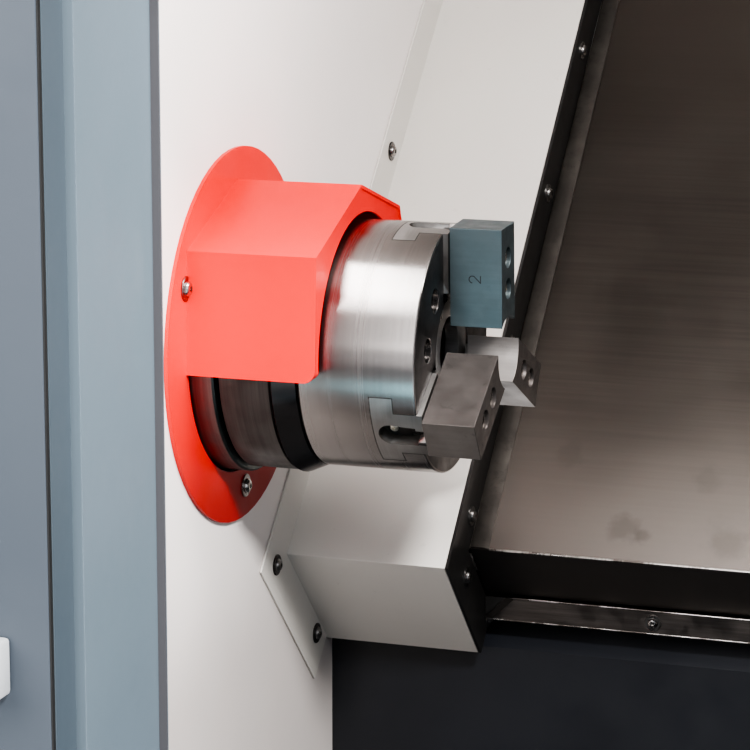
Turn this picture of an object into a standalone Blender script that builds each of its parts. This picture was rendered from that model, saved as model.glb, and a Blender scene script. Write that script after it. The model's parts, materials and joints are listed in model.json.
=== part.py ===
"""A slant-bed CNC turning lathe with its door slid open, one object for each piece.

Metres, +Z up. X runs along the spindle, from the headstock on the left to the right end.
Y runs from the operator to the back. The origin is on the floor, under the middle of the machine.

Most pieces are placed in one of two frames that share the middle of the chuck's front face:
nose(x, y, z), whose axes are the machine's, and slope(x, n, s), which is turned 45 degrees with the
bed: s climbs up the slanted bed and n stands square to it, towards the operator.
"""

import math

import bmesh
import bpy
from mathutils import Matrix, Vector

# Overall sizes, along X, Y and Z
HEADSTOCK_BAY = 1.010
WORK_LENGTH = 1.140
RIGHT_BAY = 0.150
FASCIA_TO_AXIS = 0.455
AXIS_TO_REAR = 0.800
CABINET_DEPTH = 0.180
SPINDLE_HEIGHT = 1.000
ROOF_ABOVE_AXIS = 0.720

# Clearances and sheet thicknesses
GAP = 0.0003
OVERRUN = 0.004
SHEET = 0.003
COVER_SHEET = 0.002
SOFT_EDGE = 0.0015
MERGE = 0.000001

# Door and its tracks
DOOR_THICKNESS = 0.040
DOOR_TRACK_GAP = 0.005
DOOR_OVERLAP = 0.0285
OPENING_LEFT = -0.1215
OPENING_RIGHT = 0.700
OPENING_BOTTOM = -0.280
OPENING_TOP = 0.480
OPEN_DOOR_EDGE = -0.127
TRACK_HEIGHT = 0.030
TRACK_WALL = 0.003
TRACK_LIP = 0.012
JAMB_DEPTH = 0.130
JAMB_LIP = 0.006
WINDOW_MARGIN_SIDE = 0.170
WINDOW_MARGIN_TOP = 0.110
WINDOW_MARGIN_BOTTOM = 0.230
GLASS = 0.012
HANDLE_STANDOFF = 0.040
HANDLE_HEIGHT = 0.0395
HANDLE_LENGTH = 0.210
HANDLE_GRIP = 0.016
HANDLE_INSET = 0.028
HANDLE_TOP = -0.1155

# Chuck
CHUCK_RADIUS = 0.1014
CHUCK_LENGTH = 0.0990
CHUCK_CHAMFER = 0.0015
CHUCK_REAR_CHAMFER = 0.003
CAVITY_RADIUS = 0.050
CENTRE_RING_RADIUS = 0.045
CENTRE_RING_DEPTH = 0.014
CHUCK_BORE = 0.026
CHUCK_SCREW_CIRCLE = 0.0667
CHUCK_SCREW_SPREAD = math.radians(18)
COUNTERBORE_RADIUS = 0.0095
COUNTERBORE_DEPTH = 0.013

# Jaws, seen along their own radius
JAW_ANGLES = [math.radians(angle) for angle in (93.6, 213.6, 333.6)]
JAW_WIDTH = 0.037
JAW_HEIGHT = 0.0432
JAW_OUTER = 0.1036
JAW_BORE = 0.0296
JAW_INNER = 0.020
JAW_BOLTS = (0.0525, 0.0778)
JAW_BOLT_RADIUS = 0.0085
JAW_BOLT_DEPTH = 0.016
MASTER_PROUD = 0.0040
MASTER_FOOT_WIDTH = 0.0690
MASTER_NECK_WIDTH = 0.0430
MASTER_NECK_DEPTH = 0.0197
MASTER_FOOT_DEPTH = 0.0380
MASTER_INNER = 0.0505
NUT_NECK_WIDTH = 0.0125
NUT_NECK_DEPTH = 0.010
NUT_WIDTH = 0.0175
NUT_DEPTH = 0.030

# Spindle nose, in front of the bulkhead wall
WALL_FACE = -0.1872
NOSE_RING_RADIUS = 0.112
NOSE_RING_FRONT = -0.1645
NOSE_RING_BORE = 0.086
ADAPTER_RADIUS = 0.1075
ADAPTER_REAR = -0.1627
ADAPTER_BORE = 0.040
SLINGER_RADIUS = 0.109
SLINGER_REAR = -0.118
SLINGER_BORE = 0.060

# Spindle, bearings, drive and draw bar
SPINDLE_BORE = 0.033
NOSE_RADIUS = 0.082
NOSE_LENGTH = 0.060
FRONT_JOURNAL = 0.060
REAR_JOURNAL = 0.050
BEARING_WIDTH = 0.090
BEARING_WALL = 0.032
HEADSTOCK_FRONT = -0.230
HEADSTOCK_LENGTH = 0.460
HEADSTOCK_RADIUS = 0.150
SHOULDER = 0.012
PULLEY_WIDTH = 0.075
PULLEY_OFFSET = 0.025
SPINDLE_PULLEY_RADIUS = 0.070
MOTOR_PULLEY_RADIUS = 0.050
PULLEY_RIM = 0.006
BELT_THICKNESS = 0.008
BELT_WIDTH = 0.060
CYLINDER_RADIUS = 0.085
CYLINDER_LENGTH = 0.130
DRAW_TUBE_RADIUS = 0.031
DRAW_TUBE_BORE = 0.0255
PLUNGER_RADIUS = 0.0440
PLUNGER_LENGTH = 0.0500
PLUNGER_REAR = -0.0900
MOTOR_RADIUS = 0.110
MOTOR_LENGTH = 0.340
MOTOR_SHAFT = 0.022
MOTOR_Y = -0.050
MOTOR_FOOT = 0.025

# Chuck guard
GUARD_DISC_RADIUS = 0.1566
GUARD_CLEARANCE = 0.0025
GUARD_OPENING = 0.0061
GUARD_FRONT = -0.076
GUARD_SIDE = 0.0171
GUARD_LOW = -0.012
GUARD_SHOULDER = 0.087
GUARD_TOP = 0.0291
GUARD_REAR_DROP = 0.030
GUARD_CORNER = 0.010

# Bed covers, in the slope frame
GUARD_TO_COVER = 0.0760
CREAM_LENGTH = 0.1476
CREAM_CORNER = -0.0743
CREAM_UNDERSIDE = 0.152
WALL_LIP = 0.045
END_BAND = 0.045
END_PLATE = 0.0026
COVER_RETURN = 0.078
FIXED_COVER_LENGTH = 0.300
COVER_OVERLAP = 0.030
COVER_STEP = 0.0026
COVER_RIM = 0.018
RIM_RAISE = 0.0012
GUTTER_FRONT = 0.0105
GUTTER_HEIGHT = 0.0215
GUTTER_TOP = 0.051
GUTTER_END = 0.010

# Bed, slides and saddle, in the slope frame
BED_BELOW_COVER = 0.121
BED_LOW = -0.0596
BED_TOP_WIDTH = 0.060
BED_PLINTH = 0.140
BED_FRONT = 0.210
BED_WALL = 0.045
BED_LEFT = -0.700
BED_RIGHT_MARGIN = 0.050
FOOT_HEIGHT = 0.060
FOOT_RADIUS = 0.045
FOOT_STUD = 0.012
RAIL_WIDTH = 0.045
RAIL_HEIGHT = 0.037
RAIL_LOW = 0.040
RAIL_TOP_MARGIN = 0.190
RAIL_WAIST = 0.008
TRUCK_LENGTH = 0.110
TRUCK_WIDTH = 0.100
TRUCK_LOW = 0.008
SADDLE_LEFT = 0.522
SADDLE_LENGTH = 0.300
SADDLE_THICKNESS = 0.046
SADDLE_TOP_SPAN = 0.030
SCREW_RADIUS = 0.016
SCREW_PLACE = 0.225
SCREW_HEIGHT = 0.037
SCREW_LEFT = -0.165
BRACKET_LENGTH = 0.060
BRACKET_WIDTH = 0.100
BRACKET_HEIGHT = 0.068
Z_MOTOR_WIDTH = 0.110
Z_MOTOR_LENGTH = 0.100

# Cross slide, turret and tools
SLIDE_THICKNESS = 0.048
SLIDE_MARGIN = 0.010
SLIDE_LOW = 0.120
SLIDE_LENGTH = 0.440
SLIDE_GUIDE = 0.040
TURRET_CLIMB = 0.330
TURRET_FACE = 0.322
TURRET_DISC_WIDTH = 0.090
TURRET_RADIUS = 0.170
TURRET_STATIONS = 12
TURRET_NECK = 0.028
TURRET_NECK_RADIUS = 0.110
TURRET_BODY_LENGTH = 0.260
TURRET_BODY_HALF = 0.140
TURRET_BODY_CHAMFER = 0.045
TOOL_SLOT_WIDTH = 0.026
TOOL_SLOT_DEPTH = 0.022
TOOL_LENGTH = 0.110
TOOL_HEIGHT = 0.020
TOOL_REACH = 0.020
TOOL_STATION = math.radians(225)

# Enclosure
SKIRT_BOTTOM = 0.120
SKIRT_TOP = 0.440
FASCIA_TOP = 0.560
CHAMFER_DEPTH = 0.135
END_FLANGE = 0.012
SPLASH_CLIMB = 0.120
SPLASH_LIFT = 0.024
TANK_LEFT = -0.180
TANK_RIGHT = 1.120
TANK_TOP = 0.420
TANK_BACK = 0.225
TANK_FLANGE = 0.012
TANK_GRIP_WIDTH = 0.160
TANK_GRIP_HEIGHT = 0.035
CABINET_LEFT = 0.040
CABINET_WIDTH = 1.000
CABINET_BOTTOM = 0.360
CABINET_HEIGHT = 1.150
CABINET_DOOR = 0.022
LATCH_REACH = 0.018
LATCH_WIDTH = 0.026
LATCH_HEIGHT = 0.110

# Control panel on the right of the fascia
PANEL_MARGIN = 0.060
PANEL_WIDTH = 0.400
PANEL_DEPTH = 0.048
PANEL_BOTTOM = 0.030
PANEL_HEIGHT = 0.440
SCREEN_WIDTH = 0.270
SCREEN_HEIGHT = 0.190
SCREEN_DROP = 0.040
SCREEN_RECESS = 0.004
STOP_RADIUS = 0.020
STOP_REACH = 0.026
STOP_STEM = 0.011
STOP_TRAVEL = 0.006
KNOB_RADIUS = 0.019
KNOB_REACH = 0.020
CONTROL_ROW = 0.070
CONTROL_SPACING = 0.110
CONTROL_SINK = 0.006

# Facets round a turned piece
FINE = 64
MEDIUM = 32
COARSE = 20
SMALL = 14

# Derived places
MACHINE_LENGTH = HEADSTOCK_BAY + WORK_LENGTH + RIGHT_BAY
DOOR_REACH = DOOR_TRACK_GAP + DOOR_THICKNESS + HANDLE_STANDOFF
MACHINE_DEPTH = DOOR_REACH + FASCIA_TO_AXIS + AXIS_TO_REAR + CABINET_DEPTH + CABINET_DOOR + LATCH_REACH
CENTRE = Vector((HEADSTOCK_BAY - MACHINE_LENGTH / 2,
                 DOOR_REACH + FASCIA_TO_AXIS - MACHINE_DEPTH / 2,
                 SPINDLE_HEIGHT))
LEFT_END = -HEADSTOCK_BAY
RIGHT_END = WORK_LENGTH + RIGHT_BAY
FLOOR = -SPINDLE_HEIGHT
PLINTH_TOP = FLOOR + FOOT_HEIGHT + BED_PLINTH
ROOT_TWO = math.sqrt(2)
CREAM_N = -(GUARD_DISC_RADIUS + GUARD_TO_COVER)
STEEL_N = CREAM_N - END_BAND
BED_N = STEEL_N - BED_BELOW_COVER
STEEL_LOW = CREAM_CORNER + END_BAND + END_PLATE
REAR_FACE = AXIS_TO_REAR - SHEET
BED_BACK = REAR_FACE - OVERRUN * 4
BED_FRONT_FACE = (BED_LOW - BED_N) / ROOT_TWO
SPLASH_N = STEEL_N + SPLASH_LIFT
SPLASH_END = (BED_BACK - BED_TOP_WIDTH) * ROOT_TWO + SPLASH_N
COVER_TOP = SPLASH_END - SPLASH_CLIMB
SADDLE_N = STEEL_N - COVER_SHEET - COVER_STEP - 2 * GAP
SADDLE_RIGHT = SADDLE_LEFT + SADDLE_LENGTH
RAIL_HIGH = COVER_TOP - RAIL_TOP_MARGIN
SCREW_N = BED_N + SCREW_HEIGHT


def nose(x, y, z):
    """A point given from the middle of the chuck's front face, along the machine's own axes."""
    return CENTRE + Vector((x, y, z))


def slope(n, s):
    """(y, z) of a point n in front of the spindle's slanted plane and s up along the bed."""
    return ((s - n) / ROOT_TWO, (s + n) / ROOT_TWO)


def paint(name, colour, roughness, metallic=0.0, alpha=1.0):
    """A Principled material in one plain colour."""
    material = bpy.data.materials.new(name)
    material.use_nodes = True
    shader = material.node_tree.nodes["Principled BSDF"]
    shader.inputs["Base Color"].default_value = (*colour, 1)
    shader.inputs["Roughness"].default_value = roughness
    shader.inputs["Metallic"].default_value = metallic
    shader.inputs["Alpha"].default_value = alpha
    material.diffuse_color = (*colour, alpha)
    return material


def make(name, mesh_builder, material=None, pivot=None, parent=None, helper=False):
    """Turns a bmesh in world space into an object whose origin is at the pivot."""
    bmesh.ops.recalc_face_normals(mesh_builder, faces=mesh_builder.faces)
    pivot = Vector(pivot) if pivot is not None else Vector((0, 0, 0))
    bmesh.ops.translate(mesh_builder, verts=mesh_builder.verts, vec=-pivot)
    mesh = bpy.data.meshes.new(name)
    mesh_builder.to_mesh(mesh)
    mesh_builder.free()
    obj = bpy.data.objects.new(name, mesh)
    bpy.context.scene.collection.objects.link(obj)
    obj.location = pivot
    if material is not None:
        mesh.materials.append(material)
    if parent is not None:
        bpy.context.view_layer.update()
        obj.parent = parent
        obj.matrix_parent_inverse = parent.matrix_world.inverted()
    if helper:
        obj.hide_render = True
        obj.display_type = "WIRE"
    mesh.shade_smooth()
    mesh.set_sharp_from_angle(angle=math.radians(30))
    return obj


def combine(obj, mesh_builder, operation):
    """Adds a Boolean modifier that works with the given bmesh, kept as a hidden wire object."""
    tool = make(f"{obj.name}_{operation.lower()}_{len(obj.modifiers)}", mesh_builder, helper=True)
    modifier = obj.modifiers.new(tool.name, "BOOLEAN")
    modifier.operation = operation
    modifier.solver = "EXACT"
    modifier.object = tool
    return obj


def cut(obj, mesh_builder):
    return combine(obj, mesh_builder, "DIFFERENCE")


def join(obj, mesh_builder):
    return combine(obj, mesh_builder, "UNION")


def soften(obj, width=SOFT_EDGE, segments=1, angle=50):
    """Rounds the piece's sharp edges a little, as deburred or folded metal is."""
    modifier = obj.modifiers.new("soft_edges", "BEVEL")
    modifier.width = width
    modifier.segments = segments
    modifier.limit_method = "ANGLE"
    modifier.angle_limit = math.radians(angle)
    modifier.miter_outer = "MITER_SHARP"
    return obj


def block(low, high):
    """A box between two corners in the nose frame."""
    shape = bmesh.new()
    bmesh.ops.create_cube(shape, size=1)
    low = nose(*low)
    high = nose(*high)
    bmesh.ops.scale(shape, vec=high - low, verts=shape.verts)
    bmesh.ops.translate(shape, vec=(high + low) / 2, verts=shape.verts)
    return shape


def extrude(points, step):
    """A closed outline of points, extruded by a step."""
    shape = bmesh.new()
    face = shape.faces.new([shape.verts.new(point) for point in points])
    grown = bmesh.ops.extrude_face_region(shape, geom=[face])
    top = [item for item in grown["geom"] if isinstance(item, bmesh.types.BMVert)]
    bmesh.ops.translate(shape, vec=step, verts=top)
    return shape


def along_x(outline, left, right):
    """An outline of (y, z) points in the nose frame, extruded along the machine."""
    return extrude([nose(left, y, z) for y, z in outline], Vector((right - left, 0, 0)))


def along_y(outline, front, back):
    """An outline of (x, z) points in the nose frame, extruded towards the back."""
    return extrude([nose(x, front, z) for x, z in outline], Vector((0, back - front, 0)))


def on_slope(outline, left, right):
    """An outline of (n, s) points in the slope frame, extruded along the machine."""
    return along_x([slope(n, s) for n, s in outline], left, right)


def slope_box(left, right, n_low, n_high, s_low, s_high):
    """A box whose sides follow the slanted bed."""
    corners = [(n_low, s_low), (n_high, s_low), (n_high, s_high), (n_low, s_high)]
    return on_slope(corners, left, right)


def turned(profile, centre, axis=(1, 0, 0), steps=MEDIUM):
    """A closed profile of (along, radius) points spun about an axis through the centre."""
    shape = bmesh.new()
    ring = [shape.verts.new((along, radius, 0)) for along, radius in profile]
    edges = [shape.edges.new((ring[i - 1], ring[i])) for i in range(len(ring))]
    bmesh.ops.spin(shape, geom=ring + edges, cent=(0, 0, 0), axis=(1, 0, 0),
                   angle=math.tau, steps=steps, use_merge=True)
    bmesh.ops.remove_doubles(shape, verts=shape.verts, dist=MERGE)
    on_axis = [edge for edge in shape.edges if not edge.link_faces]
    bmesh.ops.delete(shape, geom=on_axis, context="EDGES")
    turn = Vector((1, 0, 0)).rotation_difference(Vector(axis)).to_matrix().to_4x4()
    bmesh.ops.transform(shape, matrix=Matrix.Translation(centre) @ turn, verts=shape.verts)
    return shape


def rod(centre, axis, start, end, radius, steps=SMALL):
    """A plain round bar along an axis through the centre."""
    profile = [(start, 0), (start, radius), (end, radius), (end, 0)]
    return turned(profile, centre, axis, steps)


def ring(centre, axis, start, end, inner, outer, steps=MEDIUM):
    """A plain turned ring."""
    return turned([(start, inner), (start, outer), (end, outer), (end, inner)], centre, axis, steps)


def offset(path, distance):
    """The open path moved to its left by a distance, with mitred corners."""
    points = [Vector(point) for point in path]
    moved = []
    for i, point in enumerate(points):
        before = (point - points[i - 1]).normalized() if i > 0 else None
        after = (points[i + 1] - point).normalized() if i + 1 < len(points) else None
        before = before if before is not None else after
        after = after if after is not None else before
        left_before = Vector((-before.y, before.x))
        left_after = Vector((-after.y, after.x))
        mitre = (left_before + left_after).normalized()
        moved.append(tuple(point + mitre * distance / mitre.dot(left_before)))
    return moved


def folded(path, thickness):
    """The outline of a folded sheet: the path, and back along its left side at the thickness."""
    return list(path) + offset(path, thickness)[::-1]


def arc(centre, radius, start, end, steps):
    """Points of an arc round (a, b), both ends included."""
    turns = [start + (end - start) * i / steps for i in range(steps + 1)]
    return [(centre[0] + radius * math.cos(t), centre[1] + radius * math.sin(t)) for t in turns]


def radial(angle):
    """The unit vector from the spindle axis at this angle, from +Y towards +Z."""
    return Vector((0, math.cos(angle), math.sin(angle)))


def across(angle):
    """The unit vector square to the radius, round the spindle."""
    return Vector((0, -math.sin(angle), math.cos(angle)))


def jaw_prism(outline, angle, inner, outer):
    """An outline of (x, across) points, extruded outwards along a jaw's radius."""
    start = nose(0, 0, 0) + radial(angle) * inner
    points = [start + Vector((x, 0, 0)) + across(angle) * t for x, t in outline]
    return extrude(points, radial(angle) * (outer - inner))


# Bed and frame
def side_outline(inset):
    """The enclosure's outline from its end, drawn in by an inset, as (y, z) points."""
    low = FLOOR + SKIRT_BOTTOM + inset
    front = -FASCIA_TO_AXIS + inset
    rear = AXIS_TO_REAR - inset
    top = ROOF_ABOVE_AXIS - inset
    return [(front, low), (rear, low), (rear, top), (front + CHAMFER_DEPTH, top), (front, FASCIA_TOP - inset)]


def bed_casting(paints):
    """The slanted bed, one solid mineral casting on six levelling feet."""
    top = (BED_BACK - BED_TOP_WIDTH)
    bottom = FLOOR + FOOT_HEIGHT
    plinth = PLINTH_TOP
    rise = top * ROOT_TWO + BED_N
    outline = [(BED_FRONT_FACE, plinth), slope(BED_N, BED_LOW), slope(BED_N, rise),
               (BED_BACK, slope(BED_N, rise)[1]), (BED_BACK, bottom), (-BED_FRONT, bottom),
               (-BED_FRONT, plinth)]
    right = RIGHT_END - BED_RIGHT_MARGIN
    bed = make("bed_casting", along_x(outline, BED_LEFT, right), paints["navy"])
    for left_end, length in ((SCREW_LEFT, BRACKET_LENGTH), (WORK_LENGTH - BRACKET_LENGTH, BRACKET_LENGTH)):
        join(bed, slope_box(left_end, left_end + length, BED_N - OVERRUN, BED_N + BRACKET_HEIGHT,
                            SCREW_PLACE - BRACKET_WIDTH / 2, SCREW_PLACE + BRACKET_WIDTH / 2))
    axis = nose(0, *slope(SCREW_N, SCREW_PLACE))
    cut(bed, rod(axis, (1, 0, 0), SCREW_LEFT - OVERRUN, WORK_LENGTH + OVERRUN, SCREW_RADIUS + GAP,
                 MEDIUM))
    for foot in levelling_feet():
        join(bed, foot)
    return bed


def foot_places():
    right = RIGHT_END - BED_RIGHT_MARGIN
    columns = [BED_LEFT + FOOT_RADIUS, (BED_LEFT + right) / 2, right - FOOT_RADIUS]
    rows = [-BED_FRONT + FOOT_RADIUS, BED_BACK - BED_WALL / 2]
    return [(x, y) for x in columns for y in rows]


def levelling_feet():
    """Six pads, each with its screw, which become one with the casting that they carry."""
    profile = [(0, 0), (0, FOOT_RADIUS), (FOOT_HEIGHT / 4, FOOT_RADIUS), (FOOT_HEIGHT / 3, FOOT_RADIUS * 2 / 3),
               (FOOT_HEIGHT / 3, FOOT_STUD), (FOOT_HEIGHT / 2, FOOT_STUD), (FOOT_HEIGHT / 2, FOOT_STUD * 2),
               (FOOT_HEIGHT + OVERRUN, FOOT_STUD * 2), (FOOT_HEIGHT + OVERRUN, 0)]
    return [turned(profile, nose(x, y, FLOOR), (0, 0, 1), SMALL) for x, y in foot_places()]


def z_rails(paints):
    """Two profiled guide rails with waisted sides."""
    for name, s in (("lower_rail", RAIL_LOW), ("upper_rail", RAIL_HIGH)):
        half = RAIL_WIDTH / 2
        low = BED_N + GAP
        high = low + RAIL_HEIGHT
        waist = half - RAIL_WAIST
        middle = (low + high) / 2
        outline = [(low, s - half), (middle, s - waist), (high, s - half),
                   (high, s + half), (middle, s + waist), (low, s + half)]
        make(name, on_slope(outline, SCREW_LEFT, WORK_LENGTH - GAP - SHEET), paints["steel"])


# Headstock, spindle and drive
def headstock_casting(paints):
    r = HEADSTOCK_RADIUS
    low = BED_N + GAP
    outline = [(low, BED_LOW), (-r, -r), (r * 0.4, -r), (r, -r * 0.4), (r, r * 0.4), (r * 0.4, r),
               (-r * 0.8, r), (-2 * r, 2.2 * r), (low, 2.2 * r)]
    left = HEADSTOCK_FRONT - HEADSTOCK_LENGTH
    body = make("headstock_casting", on_slope(outline, left, HEADSTOCK_FRONT), paints["cast_grey"])
    seat_front = FRONT_JOURNAL + BEARING_WALL + 2 * GAP
    seat_rear = REAR_JOURNAL + BEARING_WALL + 2 * GAP
    start = left - OVERRUN
    middle = HEADSTOCK_FRONT - HEADSTOCK_LENGTH / 2
    end = HEADSTOCK_FRONT + OVERRUN
    bore = [(start, 0), (start, seat_rear), (middle, seat_rear), (middle, seat_front), (end, seat_front),
            (end, 0)]
    return cut(body, turned(bore, nose(0, 0, 0)))


def spindle_ends():
    rear_face = HEADSTOCK_FRONT - HEADSTOCK_LENGTH
    pulley_left = rear_face - PULLEY_OFFSET - PULLEY_WIDTH
    return rear_face, pulley_left, pulley_left - SHOULDER


def spindle(paints):
    nose_front = ADAPTER_REAR - GAP
    rear_face, pulley_left, end = spindle_ends()
    nose_back = nose_front - NOSE_LENGTH
    front_end = HEADSTOCK_FRONT - SHOULDER - BEARING_WIDTH
    rear_start = rear_face + SHOULDER + BEARING_WIDTH
    middle = (FRONT_JOURNAL + REAR_JOURNAL) / 2
    pulley_seat = REAR_JOURNAL - SHOULDER / 3
    profile = [(nose_front, SPINDLE_BORE), (nose_front, NOSE_RADIUS), (nose_back, NOSE_RADIUS),
               (nose_back, FRONT_JOURNAL), (front_end, FRONT_JOURNAL), (front_end, middle),
               (rear_start, middle), (rear_start, REAR_JOURNAL), (rear_face, REAR_JOURNAL),
               (rear_face, pulley_seat), (end, pulley_seat), (end, SPINDLE_BORE)]
    return make("spindle", turned(profile, nose(0, 0, 0), steps=MEDIUM), paints["ground_steel"], nose(0, 0, 0))


def spindle_bearings(paints):
    """The front and rear bearings, as two rings in the headstock's seats."""
    rear_face = HEADSTOCK_FRONT - HEADSTOCK_LENGTH
    front_face = HEADSTOCK_FRONT - SHOULDER
    front = ring(nose(0, 0, 0), (1, 0, 0), front_face - BEARING_WIDTH, front_face,
                 FRONT_JOURNAL + GAP, FRONT_JOURNAL + BEARING_WALL)
    rear = ring(nose(0, 0, 0), (1, 0, 0), rear_face + SHOULDER, rear_face + SHOULDER + BEARING_WIDTH - GAP,
                REAR_JOURNAL + GAP, REAR_JOURNAL + BEARING_WALL)
    make("front_bearing", front, paints["steel"])
    make("rear_bearing", rear, paints["steel"])


def nose_ring(paints):
    """The fixed labyrinth ring, bolted to the headstock and reaching through the wall."""
    start = HEADSTOCK_FRONT + GAP
    front = NOSE_RING_FRONT
    lip = 2 * SHEET
    profile = [(start, NOSE_RING_BORE), (start, NOSE_RING_RADIUS), (front - SOFT_EDGE, NOSE_RING_RADIUS),
               (front, NOSE_RING_RADIUS - SOFT_EDGE), (front, NOSE_RING_BORE + lip),
               (front - lip, NOSE_RING_BORE + lip), (front - lip, NOSE_RING_BORE)]
    return make("nose_ring", turned(profile, nose(0, 0, 0), steps=FINE), paints["bright_steel"])


def chuck_adapter(paints):
    rear = ADAPTER_REAR
    front = SLINGER_REAR - GAP
    step = SOFT_EDGE
    profile = [(rear, ADAPTER_BORE), (rear, ADAPTER_RADIUS - step), (rear + step, ADAPTER_RADIUS),
               (front - step, ADAPTER_RADIUS), (front, ADAPTER_RADIUS - step), (front, ADAPTER_BORE)]
    shape = turned(profile, nose(0, 0, 0), steps=FINE)
    return make("chuck_adapter", shape, paints["black_oxide"], nose(0, 0, 0))


def slinger_ring(paints):
    """The black ring behind the chuck, with a sharp rim that throws the coolant off."""
    rear = SLINGER_REAR
    front = -CHUCK_LENGTH - GAP
    profile = [(rear, SLINGER_BORE), (rear, SLINGER_RADIUS - SOFT_EDGE), (rear + SOFT_EDGE, SLINGER_RADIUS),
               (front, CHUCK_RADIUS), (front, SLINGER_BORE)]
    return make("slinger_ring", turned(profile, nose(0, 0, 0), steps=FINE), paints["black"], nose(0, 0, 0))


def t_slot(neck_half, neck_depth, foot_half, foot_depth, above):
    """A T outline of (x, across) points, opening at the chuck's face."""
    return [(above, -neck_half), (above, neck_half), (-neck_depth, neck_half), (-neck_depth, foot_half),
            (-foot_depth, foot_half), (-foot_depth, -foot_half), (-neck_depth, -foot_half),
            (-neck_depth, -neck_half)]


def chuck_body(paints):
    length = CHUCK_LENGTH
    r = CHUCK_RADIUS
    profile = [(-length, CAVITY_RADIUS), (-length, r - CHUCK_REAR_CHAMFER), (CHUCK_REAR_CHAMFER - length, r),
               (-CHUCK_CHAMFER, r), (0, r - CHUCK_CHAMFER), (0, CENTRE_RING_RADIUS),
               (-CENTRE_RING_DEPTH, CENTRE_RING_RADIUS), (-CENTRE_RING_DEPTH, CAVITY_RADIUS)]
    body = make("chuck_body", turned(profile, nose(0, 0, 0), steps=FINE), paints["bright_steel"], nose(0, 0, 0))
    outline = t_slot(MASTER_NECK_WIDTH / 2 + GAP, MASTER_NECK_DEPTH - GAP, MASTER_FOOT_WIDTH / 2 + GAP,
                     MASTER_FOOT_DEPTH + GAP, OVERRUN)
    for angle in JAW_ANGLES:
        cut(body, jaw_prism(outline, angle, CAVITY_RADIUS - 2 * OVERRUN, r + OVERRUN))
        middle = angle + math.pi / 3
        for side in (-CHUCK_SCREW_SPREAD, CHUCK_SCREW_SPREAD):
            centre = nose(0, 0, 0) + radial(middle + side) * CHUCK_SCREW_CIRCLE
            cut(body, rod(centre, (1, 0, 0), -COUNTERBORE_DEPTH, OVERRUN, COUNTERBORE_RADIUS))
    return body


def chuck_centre_ring(paints):
    """The screwed-in cover ring round the chuck's through-bore."""
    outer = CENTRE_RING_RADIUS - GAP
    back = -CENTRE_RING_DEPTH + GAP
    step = SOFT_EDGE * 2
    profile = [(back, CHUCK_BORE), (back, outer), (-step, outer), (-step / 2, outer - step / 2),
               (-step / 2, CHUCK_BORE + step), (-step, CHUCK_BORE)]
    return make("chuck_centre_ring", turned(profile, nose(0, 0, 0)), paints["steel"], nose(0, 0, 0))


def wedge_plunger(paints):
    """The plunger in the chuck that the draw tube pulls back, with a flange for the jaws' wedges."""
    rear = PLUNGER_REAR
    front = rear + PLUNGER_LENGTH
    flange = PLUNGER_LENGTH / 4
    profile = [(rear, CHUCK_BORE), (rear, PLUNGER_RADIUS), (rear + flange, CAVITY_RADIUS - GAP),
               (rear + 2 * flange, CAVITY_RADIUS - GAP), (rear + 2 * flange, PLUNGER_RADIUS),
               (front, PLUNGER_RADIUS), (front, CHUCK_BORE)]
    return make("wedge_plunger", turned(profile, nose(0, 0, 0), steps=COARSE), paints["steel"], nose(0, 0, 0))


def draw_tube(paints):
    """The tube through the spindle, from the plunger to the rotary cylinder."""
    _, _, end = spindle_ends()
    tube = ring(nose(0, 0, 0), (1, 0, 0), end - CYLINDER_LENGTH / 2, PLUNGER_REAR - GAP,
                DRAW_TUBE_BORE, DRAW_TUBE_RADIUS, COARSE)
    return make("draw_tube", tube, paints["steel"], nose(0, 0, 0))


def rotary_cylinder(paints):
    """The hydraulic cylinder on the spindle's rear end."""
    _, _, end = spindle_ends()
    start = end - GAP
    r = CYLINDER_RADIUS
    length = CYLINDER_LENGTH
    bore = DRAW_TUBE_RADIUS + GAP * 3
    profile = [(start, bore), (start, r), (start - length * 0.5, r), (start - length * 0.5, r * 0.9),
               (start - length * 0.6, r * 0.9), (start - length * 0.6, r * 0.7), (start - length, r * 0.7),
               (start - length, bore)]
    shape = turned(profile, nose(0, 0, 0), steps=COARSE)
    return make("rotary_cylinder", shape, paints["aluminium"], nose(0, 0, 0))


def pulley(name, paints, centre, radius, bore):
    """A flat belt pulley with two rims."""
    half = PULLEY_WIDTH / 2
    inner = BELT_WIDTH / 2 + GAP * 3
    rim = radius + PULLEY_RIM
    profile = [(-half, bore), (-half, rim), (-inner, rim), (-inner, radius), (inner, radius),
               (inner, rim), (half, rim), (half, bore)]
    return make(name, turned(profile, centre), paints["steel"], centre)


def pulley_centres():
    _, pulley_left, _ = spindle_ends()
    x = pulley_left + PULLEY_WIDTH / 2
    motor_z = PLINTH_TOP + MOTOR_FOOT + MOTOR_RADIUS
    return nose(x, 0, 0), nose(x, MOTOR_Y, motor_z)


def belt_loop(big_centre, big, small_centre, small):
    """The outline of a belt round two pulleys, as (y, z) points."""
    step = small_centre - big_centre
    distance = math.hypot(step.y, step.z)
    heading = math.atan2(step.z, step.y)
    lean = math.acos((big - small) / distance)
    first = arc((big_centre.y, big_centre.z), big, heading + lean, heading + math.tau - lean, SMALL)
    second = arc((small_centre.y, small_centre.z), small, heading - lean, heading + lean, SMALL)
    return first + second


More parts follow.
